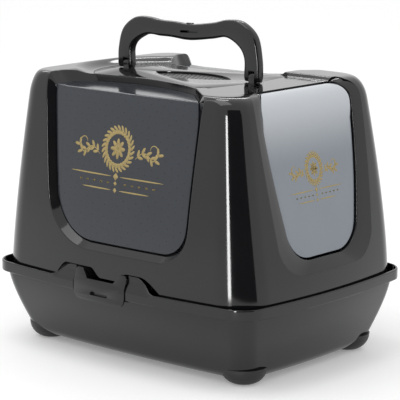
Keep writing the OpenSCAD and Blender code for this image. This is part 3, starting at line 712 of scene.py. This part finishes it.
# The entry flap: a light smoked panel that hangs from two pins behind its bent top edge. It is
# moulded as one sheet with a bored knuckle for each pin at its back.
FLAP_THICK = 2.6
FLAP_FOOT = 40
FLAP_ACROSS = 50
KNUCKLE_R = 4.5
KNUCKLE_FRONT = 190.2
PIN_BORE = 2.55
low = FLAP[1]
ws = [low + FLAP_FOOT * (1 - math.cos(a)) for a in np.linspace(0, QUARTER, 22)]
ws += list(np.linspace(low + FLAP_FOOT, BEND_Z, 30)[1:]) + list(np.linspace(BEND_Z, BEND_Z + 90, 26)[1:])
half = entry_outline(0, FLAP, np.concatenate([np.linspace(SIDE_LOW, 363, 60),
                                              np.linspace(364, FLAP_TOP, 40)]))
rows = []
for w in ws:
    x, z = flap_profile(w)
    reach = np.interp(z, half[7:, 1], half[7:, 0])
    rows.append(np.column_stack([np.full(FLAP_ACROSS, x), np.linspace(-reach, reach, FLAP_ACROSS),
                                 np.full(FLAP_ACROSS, z)]))
flap = strip("entry_flap_panel", rows, FLAP_THICK, (1, 0, 0.2))
round_edges(flap, 0.9, 3, 45)
knuckles = []
for side in (-1, 1):
    block = prism("knuckle", [(PIVOT[0] + KNUCKLE_R * math.cos(a), PIVOT[1] + KNUCKLE_R * math.sin(a))
                              for a in np.linspace(QUARTER, 3 * QUARTER, 17)]
                  + [(KNUCKLE_FRONT, PIVOT[1] - KNUCKLE_R), (KNUCKLE_FRONT, PIVOT[1] + KNUCKLE_R)],
                  "y", side * 95.0, side * 80.0)
    bore = prism("bore", arc(*PIVOT, PIN_BORE, 0, 360, 24)[:-1], "y",
                 side * 97.0, side * 82.0)
    knuckles.append(boolean(block, [bore]))
flap_parts = [flap] + knuckles
with bpy.context.temp_override(active_object=flap, selected_editable_objects=flap_parts,
                               selected_objects=flap_parts):
    bpy.ops.object.join()
smooth(flap.data, 45)
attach(flap, "flap")
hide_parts("entry_flap")
flap_plastic = moulded("light smoked flap", (0.215, 0.240, 0.275), (0.240, 0.268, 0.302), (0.10, 0.15))
# The panel is painted paler towards its bent top: a painted sheen for the light that the bent top catches.
tree = flap_plastic.node_tree
coord = add_node(tree, "ShaderNodeTexCoord")
split = add_node(tree, "ShaderNodeSeparateXYZ")
painted_top_sheen = add_node(tree, "ShaderNodeMapRange", {"From Min": 0.285, "From Max": 0.385, "To Max": 0.8},
                interpolation_type="SMOOTHSTEP")
wire(tree, (coord, "Object", split, 0), (split, "Z", painted_top_sheen, "Value"))
mix_over(tree, painted_top_sheen, (0.66, 0.69, 0.72))
dress(flap, flap_plastic)

# The gold print on both side panels and the flap: a leaf wreath round a rosette, two scrolling
# sprigs, and ruled lines with dots. The leaves are grown along paths by nodes, and the flat print
# is then laid on each panel's curve as a thin skin of ink.
def leaf_row_tree():
    """Nodes that set pairs of leaves along a path, leaning to both sides of it."""
    tree = bpy.data.node_groups.new("leaf row", "GeometryNodeTree")
    sockets = {}
    for label, kind in (("Path", "Geometry"), ("Count", "Int"), ("Length", "Float"),
                        ("Width", "Float"), ("Lean", "Float"), ("Ink", "Material")):
        sockets[label] = tree.interface.new_socket(label, in_out="INPUT",
                                                   socket_type="NodeSocket" + kind)
    tree.interface.new_socket("Print", in_out="OUTPUT", socket_type="NodeSocketGeometry")

    start, end = add_node(tree, "NodeGroupInput"), add_node(tree, "NodeGroupOutput")
    path = add_node(tree, "GeometryNodeMeshToCurve")
    spaced = add_node(tree, "GeometryNodeResampleCurve", mode="COUNT")
    tangent = add_node(tree, "GeometryNodeInputTangent")
    aim = add_node(tree, "FunctionNodeAlignRotationToVector", axis="X", pivot_axis="Z")
    leaf = add_node(tree, "GeometryNodeMeshCircle", {"Vertices": 12}, fill_type="NGON")
    moved = add_node(tree, "GeometryNodeTransform", {"Translation": (1, 0, 0)})
    size = add_node(tree, "ShaderNodeCombineXYZ", {"Z": 1})
    join = add_node(tree, "GeometryNodeJoinGeometry")
    real = add_node(tree, "GeometryNodeRealizeInstances")
    ink = add_node(tree, "GeometryNodeSetMaterial")
    wire(tree, (start, "Path", path, "Mesh"), (path, "Curve", spaced, "Curve"),
         (start, "Count", spaced, "Count"), (tangent, "Tangent", aim, "Vector"),
         (leaf, "Mesh", moved, "Geometry"), (start, "Length", size, "X"), (start, "Width", size, "Y"))
    for sign in (1.0, -1.0):
        turn = add_node(tree, "ShaderNodeMath", {1: sign}, operation="MULTIPLY")
        lean = add_node(tree, "FunctionNodeAxisAngleToRotation", {"Axis": (0, 0, 1)})
        both = add_node(tree, "FunctionNodeRotateRotation", rotation_space="LOCAL")
        place = add_node(tree, "GeometryNodeInstanceOnPoints")
        wire(tree, (start, "Lean", turn, 0), (turn, 0, lean, "Angle"),
             (aim, "Rotation", both, "Rotation"), (lean, "Rotation", both, "Rotate By"),
             (spaced, "Curve", place, "Points"), (moved, "Geometry", place, "Instance"),
             (both, "Rotation", place, "Rotation"), (size, "Vector", place, "Scale"),
             (place, "Instances", join, "Geometry"))
    wire(tree, (join, "Geometry", real, "Geometry"), (real, "Geometry", ink, "Geometry"),
         (start, "Ink", ink, "Material"), (ink, "Geometry", end, "Print"))
    return tree, {label: socket.identifier for label, socket in sockets.items()}


gold_ink = moulded("gold ink", (0.36, 0.27, 0.095), (0.44, 0.33, 0.125), (0.42, 0.52))
leaf_tree, leaf_inputs = leaf_row_tree()


def leaf_row(path, closed, count, length, width, lean):
    """Flat leaves along a path of (u, w) points, as vertices and faces."""
    n = len(path)
    mesh = bpy.data.meshes.new("path")
    edges = [(i, i + 1) for i in range(n - 1)] + ([(n - 1, 0)] if closed else [])
    mesh.from_pydata([(u, w, 0) for u, w in path], edges, [])
    carrier = new_object("path", mesh)
    row = carrier.modifiers.new("leaves", "NODES")
    row.node_group = leaf_tree
    for label, value in (("Count", count), ("Length", length / 2), ("Width", width / 2),
                         ("Lean", math.radians(lean)), ("Ink", gold_ink)):
        row[leaf_inputs[label]] = value
    grown = bpy.data.meshes.new_from_object(
        carrier.evaluated_get(bpy.context.evaluated_depsgraph_get()))
    out = ([(v.co.x, v.co.y) for v in grown.vertices], [tuple(p.vertices) for p in grown.polygons])
    bpy.data.objects.remove(carrier)
    bpy.data.meshes.remove(grown)
    return out


def ribbon(path, width):
    """A flat line of that width along a path, narrowing to its ends."""
    p = np.asarray(path, float)
    t = np.gradient(p, axis=0)
    t /= np.linalg.norm(t, axis=1)[:, None]
    side = np.column_stack([-t[:, 1], t[:, 0]])
    half = width / 2 * np.sqrt(np.clip(np.sin(np.linspace(0.06, math.pi - 0.06, len(p))), 0, 1))[:, None]
    n = len(p)
    return ([tuple(q) for q in p + side * half] + [tuple(q) for q in p - side * half],
            [(i, n + i, n + i + 1, i + 1) for i in range(n - 1)])


def scroll(sign):
    """A sprig's stem: it leaves the wreath, dips and curls in on itself."""
    t = np.linspace(0, 1, 60)
    u = 33 + 30 * np.minimum(t / 0.55, 1)
    w = 4 + 11 * np.sin(np.minimum(t / 0.55, 1) * math.pi) * 0.8
    curl = np.clip((t - 0.55) / 0.45, 0, 1)
    r, a = 13 - 9 * curl, -QUARTER + curl * 1.45 * math.pi
    u = np.where(t > 0.55, 63 + r * np.cos(a), u)
    w = np.where(t > 0.55, 17 + r * np.sin(a), w)
    return np.column_stack([sign * u, w])


def circle(u, w, r, n):
    """Points round the middle (u, w)."""
    return [(u + r * math.cos(a), w + r * math.sin(a)) for a in np.linspace(0, 4 * QUARTER, n + 1)[:-1]]


def emblem():
    """The flat print, about 172 wide and 88 high, as vertices and faces."""
    parts = []
    ring = circle(0, 14, 24, 60)
    parts.append(leaf_row(ring, True, 26, 9.5, 3.6, 38))
    parts.append(ribbon(ring + ring[:1], 1.3))
    parts.append(leaf_row(circle(0, 14, 0.6, 24), True, 8, 13.0, 5.4, 90))
    for sign in (-1, 1):
        stem = scroll(sign)
        parts.append(ribbon(stem, 1.7))
        parts.append(leaf_row(stem[4:40], False, 6, 10.0, 4.2, 42))
        for lo, hi, w in ((8, 86, -22.0), (8, 62, -40.0)):
            parts.append(ribbon([(sign * u, w) for u in np.linspace(lo, hi, 12)], 1.9))
        for k in range(5):
            dot = circle(sign * (16 + 13 * k), -31, 0.3, 12)
            parts.append(leaf_row(dot, True, 2, 4.4, 2.6, 0))
    for w, r in ((-22.0, 5.0), (-40.0, 3.4), (-31.0, 3.0)):
        parts.append(([(-r, w), (0, w - r), (r, w), (0, w + r)], [(0, 1, 2, 3)]))
    points, faces = [], []
    for p, f in parts:
        faces += [tuple(i + len(points) for i in q) for q in f]
        points += p
    return np.array(points), faces


emblem_points, emblem_faces = emblem()


def lay_print(name, place, outward, body):
    """Lays the flat print on a panel and thickens it to a skin of ink."""
    skin = make_piece(name, [place(u, w) for u, w in emblem_points], emblem_faces)
    bm = bmesh.new()
    bm.from_mesh(skin.data)
    for face in bm.faces:
        if face.normal.dot(Vector(outward)) < 0:
            face.normal_flip()
    bm.to_mesh(skin.data)
    bm.free()
    thicken(skin, 0.3)
    dress(skin, gold_ink)
    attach(skin, body)


INK_PROUD = 0.15
for name, side in (("near", -1), ("far", 1)):
    def on_window(u, w):
        """The print's middle is at x -6, 288 mm up, and it is 1.05 times as high as drawn."""
        return side_point(-6 - side * u, round(288 + w * 1.05, 1), PANEL_DEPTH - INK_PROUD, side)

    lay_print("gold_print_" + name, on_window, (0, side, 0.2), "hood")


def on_flap(u, w):
    """The print's middle is 269 mm up, and it is narrower and lower than drawn."""
    z = 269 + w * 0.78
    return (float(flap_face_x(z)) + INK_PROUD, u * 0.66, z)


lay_print("gold_print_flap", on_flap, (1, 0, 0.2), "flap")

# The tray: one glossy black moulding with a deep pan, a bowed rim whose channel takes the hood,
# and two humps beside each latch.
HALF_LEN = 250.0
HALF_WID = 195.0
SKIRT_Z = 102.5
SKIRT_IN = 8.5
TRAY_FLOOR = 7.0
TRAY_WALL = 3.0
PAN_LEAN_X = 32.0
PAN_LEAN_Y = 40.0
RIM_WALL = 2.9
CHANNEL_FLOOR = HOOD_FOOT - 0.3
CHANNEL_IN = 11.3
CHANNEL_TOP = RIM_TOP - 4
CHANNEL_WALL = 3.0
LATCH_X = -11.0
HUMP = 18.8
HUMP_END = 98.0
tray_plan = plan_stations(16, 110, 60)


def tray_ring(inset, z, r=30.0):
    """A ring of the rim, that far inside its outer face; inset and z may differ along it."""
    inset = np.broadcast_to(np.asarray(inset, float), len(tray_plan))
    a, b = HALF_LEN - inset, HALF_WID - inset
    p = bowed_ring(tray_plan, a, a, b, np.maximum(8, r - inset), 1.0)
    return np.column_stack([p, np.broadcast_to(np.asarray(z, float), len(tray_plan))])


def pan_ring(z, d, round_in=0.0):
    """A ring of the pan's leaning wall, d mm inside its outer face."""
    s = max(0.0, (SKIRT_Z - z) / (SKIRT_Z - TRAY_FLOOR + d))
    lean, keep = s ** 1.28, 1 - 0.49 * s
    a = HALF_LEN - SKIRT_IN - PAN_LEAN_X * lean - round_in - d
    b = HALF_WID - SKIRT_IN - PAN_LEAN_Y * lean - round_in - d
    p = bowed_ring(tray_plan, a, a, b, max(6, 24 - d - round_in / 2), keep)
    return np.column_stack([p, np.full(len(tray_plan), z)])


def pan_wall(d, bottom, top):
    """Rings from the pan's rounded foot up its wall."""
    rr = max(4, 14 - d)
    rows = [pan_ring(bottom + rr * (1 - math.cos(a)), d, rr * (1 - math.sin(a)))
            for a in np.linspace(0, QUARTER, 9)]
    return rows + [pan_ring(z, d) for z in np.linspace(bottom + rr, top, 12)[1:]]


long_side = np.abs(tray_plan[:, 1]) > 0.999
side_x = tray_ring(0, 0)[:, 0]
hump = np.where(long_side, HUMP * ease((HUMP_END - np.abs(side_x - LATCH_X)) / 37), 0.0)
lean_in = np.minimum(1, hump / 5)


def hump_inset(z):
    """How far the humps follow the hood's leaning wall inwards at each height."""
    heights = [CHANNEL_TOP, RIM_TOP, RIM_TOP + 4, RIM_TOP + 9, RIM_TOP + 20.8]
    return lean_in * np.interp(z, heights, [0, 1, 3.2, 6.3, 7.7])


# The rim's skirt, outer face, rounded crest, inner face, channel and inner wall.
rim_rows = [tray_ring(SKIRT_IN, SKIRT_Z - 0.02, 32.5), tray_ring(2.0, SKIRT_Z),
            tray_ring(0.8, SKIRT_Z + 0.3), tray_ring(0.2, SKIRT_Z + 0.9), tray_ring(0, SKIRT_Z + 2)]
for f in np.linspace(0, 1, 10):
    z = 112 + (4.0 + hump) * f
    rim_rows.append(tray_ring(hump_inset(z), z))
crest = hump_inset(RIM_TOP - 1.7 + hump)
for a in np.linspace(0, QUARTER, 5)[1:]:
    rim_rows.append(tray_ring(crest + 1.4 * (1 - math.cos(a)), RIM_TOP - 1.7 + hump + 1.7 * math.sin(a)))
thick = RIM_WALL - 0.3 * lean_in
rim_rows.append(tray_ring(crest + thick - 0.3, RIM_TOP + hump))
rim_rows.append(tray_ring(crest + thick, RIM_TOP - 0.3 + hump))
for f in np.linspace(0, 1, 8)[1:]:
    z = RIM_TOP - 0.3 + hump - (3.9 + hump) * f
    rim_rows.append(tray_ring(hump_inset(z) + RIM_WALL - 0.3 * lean_in * (1 - f), z))
rim_rows.append(tray_ring(RIM_WALL, CHANNEL_FLOOR))
for inset, z in ((CHANNEL_IN, CHANNEL_FLOOR), (CHANNEL_IN, CHANNEL_TOP - 0.5),
                 (CHANNEL_IN + 0.5, CHANNEL_TOP), (CHANNEL_IN + CHANNEL_WALL - 0.5, CHANNEL_TOP),
                 (CHANNEL_IN + CHANNEL_WALL, CHANNEL_TOP - 0.5), (CHANNEL_IN + CHANNEL_WALL, SKIRT_Z)):
    rim_rows.append(tray_ring(inset, z, 52.9))
inside = pan_wall(TRAY_WALL, TRAY_FLOOR + TRAY_WALL, SKIRT_Z - 6)
tray = loft("tray_moulding", pan_wall(0.0, TRAY_FLOOR, SKIRT_Z - 0.03) + rim_rows + inside[::-1], 35)

# Each latch has a shallow slot for its plate, a deeper one above the channel for the plate's upper
# part, and a pocket for each of the two knuckles that turn on its pin.
SLOT_X = (LATCH_X - 51.0, LATCH_X + 48.2)
POCKET_IN = 24.5
POCKET_OUT = 34.5
POCKET_TOP = 104.8
slots = []
for side in (-1, 1):
    face = HALF_WID + 2
    for (x0, x1), depth, z0, z1 in ((SLOT_X, 4.9, 95, 155), (SLOT_X, 15.3, CHANNEL_TOP, 155),
                                    ((LATCH_X - POCKET_OUT, LATCH_X - POCKET_IN), 10.3, 95, POCKET_TOP),
                                    ((LATCH_X + POCKET_IN, LATCH_X + POCKET_OUT), 10.3, 95, POCKET_TOP)):
        slots.append(prism("slot", [(x0, z0), (x1, z0), (x1, z1), (x0, z1)], "y",
                           side * face, side * (face - depth)))
boolean(tray, slots, sharp=35)
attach(tray, "tray")
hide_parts("tray")
dress(tray, shell_plastic)

# The feet, latches and pins: black rubber knobs under the corners, glossy clips that hang on the
# tray's long sides, and nylon pins. Knobs and pins keep the shapes they are cut to, and each clip
# is a copy of its cut shape, with a finger slot through it and rounded edges.
SLOT_HALF = 14.2
SLOT_Z = 103.4
SLOT_R = 2.3
rubber = moulded("black rubber", (0.010, 0.010, 0.010), (0.016, 0.016, 0.016), (0.42, 0.55), 0.25)
nylon = moulded("black nylon", (0.020, 0.020, 0.022), (0.028, 0.028, 0.030), (0.35, 0.45), 0.1)
for node in ("foot_front_near", "foot_front_far", "foot_rear_near", "foot_rear_far"):
    dress(bpy.data.objects[node], rubber)


def stadium(x0, x1, z0, z1, r, steps):
    """A slot's outline between two round ends, right end first."""
    return np.concatenate([arc(x1, z1, r, -90, 90, steps), arc(x0, z0, r, 90, 270, steps)])


for node, side in (("latch_near", -1), ("latch_far", 1)):
    clip_mesh = bpy.data.objects[node].data.copy()
    clip = new_object("clip_" + node, clip_mesh)
    bm = bmesh.new()
    bm.from_mesh(clip_mesh)
    bmesh.ops.remove_doubles(bm, verts=bm.verts, dist=0.000005)
    bmesh.ops.dissolve_limit(bm, angle_limit=0.01, verts=bm.verts, edges=bm.edges)
    bm.to_mesh(clip_mesh)
    bm.free()
    finger = stadium(LATCH_X - SLOT_HALF, LATCH_X + SLOT_HALF, SLOT_Z, SLOT_Z, SLOT_R, 10)
    boolean(clip, [prism("finger slot", finger, "y", side * 199.0, side * 191.0)], sharp=30)
    round_edges(clip, 0.5, 2, 40)
    dress(clip, shell_plastic)
    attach(clip, node)
    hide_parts(node)
for node in ("latch_pin_near", "latch_pin_far", "flap_pin_near", "flap_pin_far",
             "handle_pin_front", "handle_pin_rear"):
    dress(bpy.data.objects[node], nylon)

# The deck: the flat plate let into the hood's top over the filter bay, with a lens-shaped hole
# for the grille, and a bored lug at each end that carries the handle's pin.
HINGE_Z = HOOD_TOP + 8
LUG_X = (-135.5, TAB_X)
LUG_R = 7.0
LENS_X = -12.0
LENS_LONG = 70.5
LENS_WIDE = 31.5
deck = prism("deck_plate", deck_outline(0), "z", HOOD_TOP - WALL, HOOD_TOP)
lens_r = (LENS_LONG ** 2 + LENS_WIDE ** 2) / (2 * LENS_WIDE)
lens_a = math.degrees(math.asin(LENS_LONG / lens_r))
lens = np.concatenate([
    arc(LENS_X, LENS_WIDE - lens_r, lens_r, 90 - lens_a, 90 + lens_a, 40),
    arc(LENS_X, lens_r - LENS_WIDE, lens_r, 270 - lens_a, 270 + lens_a, 40)[1:-1]])
added = [prism("tab", arc(TAB_X, 0, TAB_R, 0, 360, 48)[:-1], "z", HOOD_TOP - WALL, HOOD_TOP)]
cut = [prism("lens hole", lens, "z", 370, 400)]
for x in LUG_X:
    lug = np.concatenate([arc(0, HINGE_Z, LUG_R, 0, 180, 24),
                          [(-LUG_R, HOOD_TOP - 1), (LUG_R, HOOD_TOP - 1)]])
    added.append(prism("lug", lug, "x", x - 5, x + 5))
    cut.append(prism("bore", arc(0, HINGE_Z, PIN_BORE, 0, 360, 24)[:-1], "x", x - 8, x + 8))
boolean(deck, added, "UNION")
boolean(deck, cut, sharp=30)
round_edges(deck, 0.5, 2, 45)
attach(deck, "hood")
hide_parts("top_deck")
dress(deck, shell_plastic)

# The filter: a loose perforated grille over a black felt pad, in a cup under the deck. All three
# keep the shapes they are cut to.
grille_plastic = moulded("satin black plastic", (0.030, 0.030, 0.031), (0.050, 0.050, 0.052),
                         (0.36, 0.46), 0.4)
felt = moulded("carbon felt", (0.010, 0.010, 0.010), (0.030, 0.030, 0.030), (0.8, 0.95), 0.8)
dress(bpy.data.objects["filter_grille"], grille_plastic)
dress(bpy.data.objects["filter_cup"], shell_plastic)
dress(bpy.data.objects["filter_pad"], felt)

# The carrying handle: a solid black bail with a dipped grip, forked at its feet round the deck's
# lugs. It is lofted from rounded sections between its outer and inner contours.
TOP_Z = HOOD_TOP + 84
HANDLE_X = -17.5
HALF_GRIP = 130.5
POST = 25.0
HALF_DEPTH = 7.0
BAIL_CORNER = 4.6
FORK_HALF = 5.4
DIMPLE_R = 1.7
DIMPLE_Z = TOP_Z - 22
NUB_R = 3.2
NUB_HALF = 3.0


def spline(points, n):
    """A smooth curve through all but the first and last point, n steps between each two."""
    p = np.array(points, float)
    out = []
    for i in range(1, len(p) - 2):
        a, b, c, d = p[i - 1:i + 3]
        for u in np.linspace(0, 1, n + 1)[:-1]:
            out.append(0.5 * (2 * b + (c - a) * u + (2 * a - 5 * b + 4 * c - d) * u ** 2
                              + (3 * b - a - 3 * c + d) * u ** 3))
    return np.array(out)


def contour(right):
    """Whole contour from the rear foot over to the front foot, by its share s of the way."""
    whole = np.concatenate([right * [-1, 1], right[::-1]])
    step = np.concatenate([[0], np.cumsum(np.linalg.norm(np.diff(whole, axis=0), axis=1))])
    return lambda s: np.array([np.interp(s * step[-1], step, whole[:, k]) for k in (0, 1)])


outer_line = contour(spline([
    (HALF_GRIP, HINGE_Z - 20), (HALF_GRIP, HINGE_Z), (HALF_GRIP - 1, HINGE_Z + 25),
    (HALF_GRIP - 9, TOP_Z - 20), (HALF_GRIP - 32, TOP_Z - 2), (HALF_GRIP - 58, TOP_Z),
    (45, TOP_Z - 6), (0, TOP_Z - 11), (-45, TOP_Z - 6)], 12))
inner_line = contour(spline([
    (HALF_GRIP - POST, HINGE_Z - 20), (HALF_GRIP - POST, HINGE_Z), (HALF_GRIP - POST, HINGE_Z + 24),
    (HALF_GRIP - POST - 10, HINGE_Z + 40), (HALF_GRIP - POST - 33, TOP_Z - 25), (45, TOP_Z - 29),
    (0, TOP_Z - 34), (-45, TOP_Z - 29)], 12))


def handle_section(o, i, half_depth):
    """Rounded rectangle between an outer and an inner contour point."""
    mid, half_w = (o + i) / 2, np.linalg.norm(o - i) / 2
    u = (o - i) / (2 * half_w)
    pts = []
    r = min(BAIL_CORNER, half_depth * 0.75)
    for k, (sx, sy) in enumerate(((1, 1), (-1, 1), (-1, -1), (1, -1))):
        for a in np.linspace(k * QUARTER, (k + 1) * QUARTER, 7):
            w = sx * (half_w - r) + r * math.cos(a)
            d = sy * (half_depth - r) + r * math.sin(a)
            pts.append((HANDLE_X + mid[0] + u[0] * w, d, mid[1] + u[1] * w))
    return np.array(pts)


def rear_bend(p, shift):
    """Shifts a contour point, and lowers it towards the rear bend, which is the lower one."""
    drop = 6.3 * float(ease((-p[0] - 15) / 60) * ease((p[1] - HINGE_Z - 10) / 45))
    return p + [shift, -drop]


def bail_points(s):
    """The outer and inner contour points at s, moved a little to the rear."""
    o, i = outer_line(s), inner_line(s)
    return rear_bend(o, -2.5 * (1 - o[0] / HALF_GRIP)), rear_bend(i, -2.6)


sections = [handle_section(*bail_points(s), HALF_DEPTH) for s in np.linspace(0, 1, 121)]
for end in (0.0, 1.0):
    o, i = bail_points(end)
    rounds = []
    for a in np.linspace(0, QUARTER, 9)[1:]:
        drop = np.array([0, -HALF_DEPTH * math.sin(a)])
        rounds.append(handle_section(o + drop, i + drop, max(0.6, HALF_DEPTH * math.cos(a))))
    sections = rounds[::-1] + sections if end == 0 else sections + rounds
handle = loft("carry_handle_bail", sections, 50)
face_outwards(handle.data)
cut = []
for x in (HANDLE_X - HALF_GRIP + POST / 2, HANDLE_X + HALF_GRIP - POST / 2):
    cut.append(prism("fork", [(x - FORK_HALF, 330), (x + FORK_HALF, 330), (x + FORK_HALF, HINGE_Z + 9),
                              (x - FORK_HALF, HINGE_Z + 9)], "y", -20, 20))
for pin in ("handle_pin_front", "handle_pin_rear"):
    lo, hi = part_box(pin)
    bore_r = (hi[2] - lo[2]) / 2 / MM + 0.25
    cut.append(prism("bore", arc(0, HINGE_Z, bore_r, 0, 360, 32)[:-1], "x",
                     lo[0] / MM - 0.3, hi[0] / MM + 0.3))
cut.append(prism("dimple", stadium(-28.7, 0.9, DIMPLE_Z, DIMPLE_Z + 1.2, DIMPLE_R, 12), "y", -9, 2.0))
boolean(handle, cut, sharp=50)
nub = prism("nub", stadium(HANDLE_X - NUB_HALF, HANDLE_X + NUB_HALF, 0, 0, NUB_R, 12), "z",
            TOP_Z - 14, TOP_Z - 9.6)
boolean(handle, [nub], "UNION", 50)
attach(handle, "handle")
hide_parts("carry_handle")
dress(handle, shell_plastic)

# The studio: the camera, a pale floor and background, and soft lamps. Most lamps show only in the
# gloss, and so does a dark card, which darkens what the front near corner reflects.
# The camera is turned, raised and rolled by these degrees, and stands that many metres off.
CAMERA_TURN = 40.813
CAMERA_HEIGHT = 11.199
CAMERA_ROLL = 0.29
CAMERA_AWAY = 2.768
CAMERA_RIGHT = 0.001951
CAMERA_UP = 0.204915
FOCAL_PIXELS = 1904.09
RENDER_WIDTH = 400
SENSOR = 36
cam_data = bpy.data.cameras.new("camera")
cam = new_object("camera", cam_data)
az, el, roll = (math.radians(v) for v in (CAMERA_TURN, CAMERA_HEIGHT, CAMERA_ROLL))
back = Vector((math.sin(az) * math.cos(el), -math.cos(az) * math.cos(el), math.sin(el)))
right = Vector((math.cos(az), math.sin(az), 0))
up = back.cross(right)
right_r = right * math.cos(roll) + up * math.sin(roll)
up_r = up * math.cos(roll) - right * math.sin(roll)
spot = back * CAMERA_AWAY + right * CAMERA_RIGHT + up * CAMERA_UP
cam.matrix_world = Matrix([*zip(right_r, up_r, back, spot), (0, 0, 0, 1)])
cam_data.sensor_width = SENSOR
cam_data.lens = FOCAL_PIXELS / RENDER_WIDTH * SENSOR
bpy.context.scene.camera = cam


def seen(tree):
    """1 where the camera sees the background, straight or through gloss or glass, else 0."""
    path = add_node(tree, "ShaderNodeLightPath")
    glossy, either = (add_node(tree, "ShaderNodeMath", operation="MAXIMUM") for _ in range(2))
    wire(tree, (path, "Is Camera Ray", glossy, 0), (path, "Is Glossy Ray", glossy, 1),
         (glossy, 0, either, 0), (path, "Is Transmission Ray", either, 1))
    return either


def studio_sheet(name, corners, color, rough):
    """A flat stage piece in one plain colour, and its material's nodes."""
    mesh = bpy.data.meshes.new(name)
    mesh.from_pydata(corners, [], [(0, 1, 2, 3)])
    sheet = new_object(name, mesh)
    mat = bpy.data.materials.new(name)
    mat.use_nodes = True
    shader = mat.node_tree.nodes["Principled BSDF"]
    shader.inputs["Base Color"].default_value = (color, color, color, 1)
    shader.inputs["Roughness"].default_value = rough
    mesh.materials.append(mat)
    return sheet, mat.node_tree


FLOOR_HALF = 6
floor_corners = [(x * FLOOR_HALF, y * FLOOR_HALF, 0) for x, y in ((-1, -1), (1, -1), (1, 1), (-1, 1))]
floor, tree = studio_sheet("floor", floor_corners, 0.88, 0.8)
shader = tree.nodes["Principled BSDF"]
lift = add_node(tree, "ShaderNodeMath", {1: 0.22}, operation="MULTIPLY")
shader.inputs["Emission Color"].default_value = (1, 1, 1, 1)
wire(tree, (seen(tree), 0, lift, 0), (lift, 0, shader, "Emission Strength"))


def lamp(name, place, target, size, radiance, diffuse):
    """A soft box; one that only shows in gloss gives highlights without lighting the colours."""
    data = bpy.data.lights.new(name, "AREA")
    data.shape = "RECTANGLE"
    data.size, data.size_y = size
    data.energy = radiance * 4 * size[0] * size[1]
    obj = new_object(name, data)
    obj.location = place
    obj.rotation_euler = (Vector(target) - Vector(place)).to_track_quat("-Z", "Y").to_euler()
    obj.visible_camera = False
    obj.visible_diffuse = diffuse


lamp("corner strip", (0.39, -0.73, 0.29), (0.205, -0.16, 0.29), (0.08, 0.56), 17, False)
lamp("shoulder streak", (-1.28, 0.89, 1.6), (0, -0.1, 0.35), (1.8, 0.12), 6, False)
lamp("crest streak", (-0.58, 0.40, 1.91), (0.2, -0.15, 0.38), (0.5, 0.16), 9, False)
lamp("top", (-0.4, -0.6, 2.6), (0, 0, 0.1), (1.6, 1.6), 1.6, True)
card, _ = studio_sheet("dark card", [(0.50, -0.86, 0.001), (0.95, -0.24, 0.001),
                                     (0.95, -0.24, 1.0), (0.50, -0.86, 1.0)], 0.01, 1)
card.visible_camera = False
card.visible_diffuse = False
card.visible_shadow = False
card.visible_transmission = False

world = bpy.data.worlds.new("studio")
bpy.context.scene.world = world
world.use_nodes = True
tree = world.node_tree
shine = tree.nodes["Background"]
shine.inputs["Color"].default_value = (1, 1, 1, 1)
level = add_node(tree, "ShaderNodeMapRange", {"To Min": 0.85, "To Max": 1.0})
wire(tree, (seen(tree), 0, level, "Value"), (level, "Result", shine, "Strength"))
bpy.context.scene.view_settings.view_transform = "Standard"
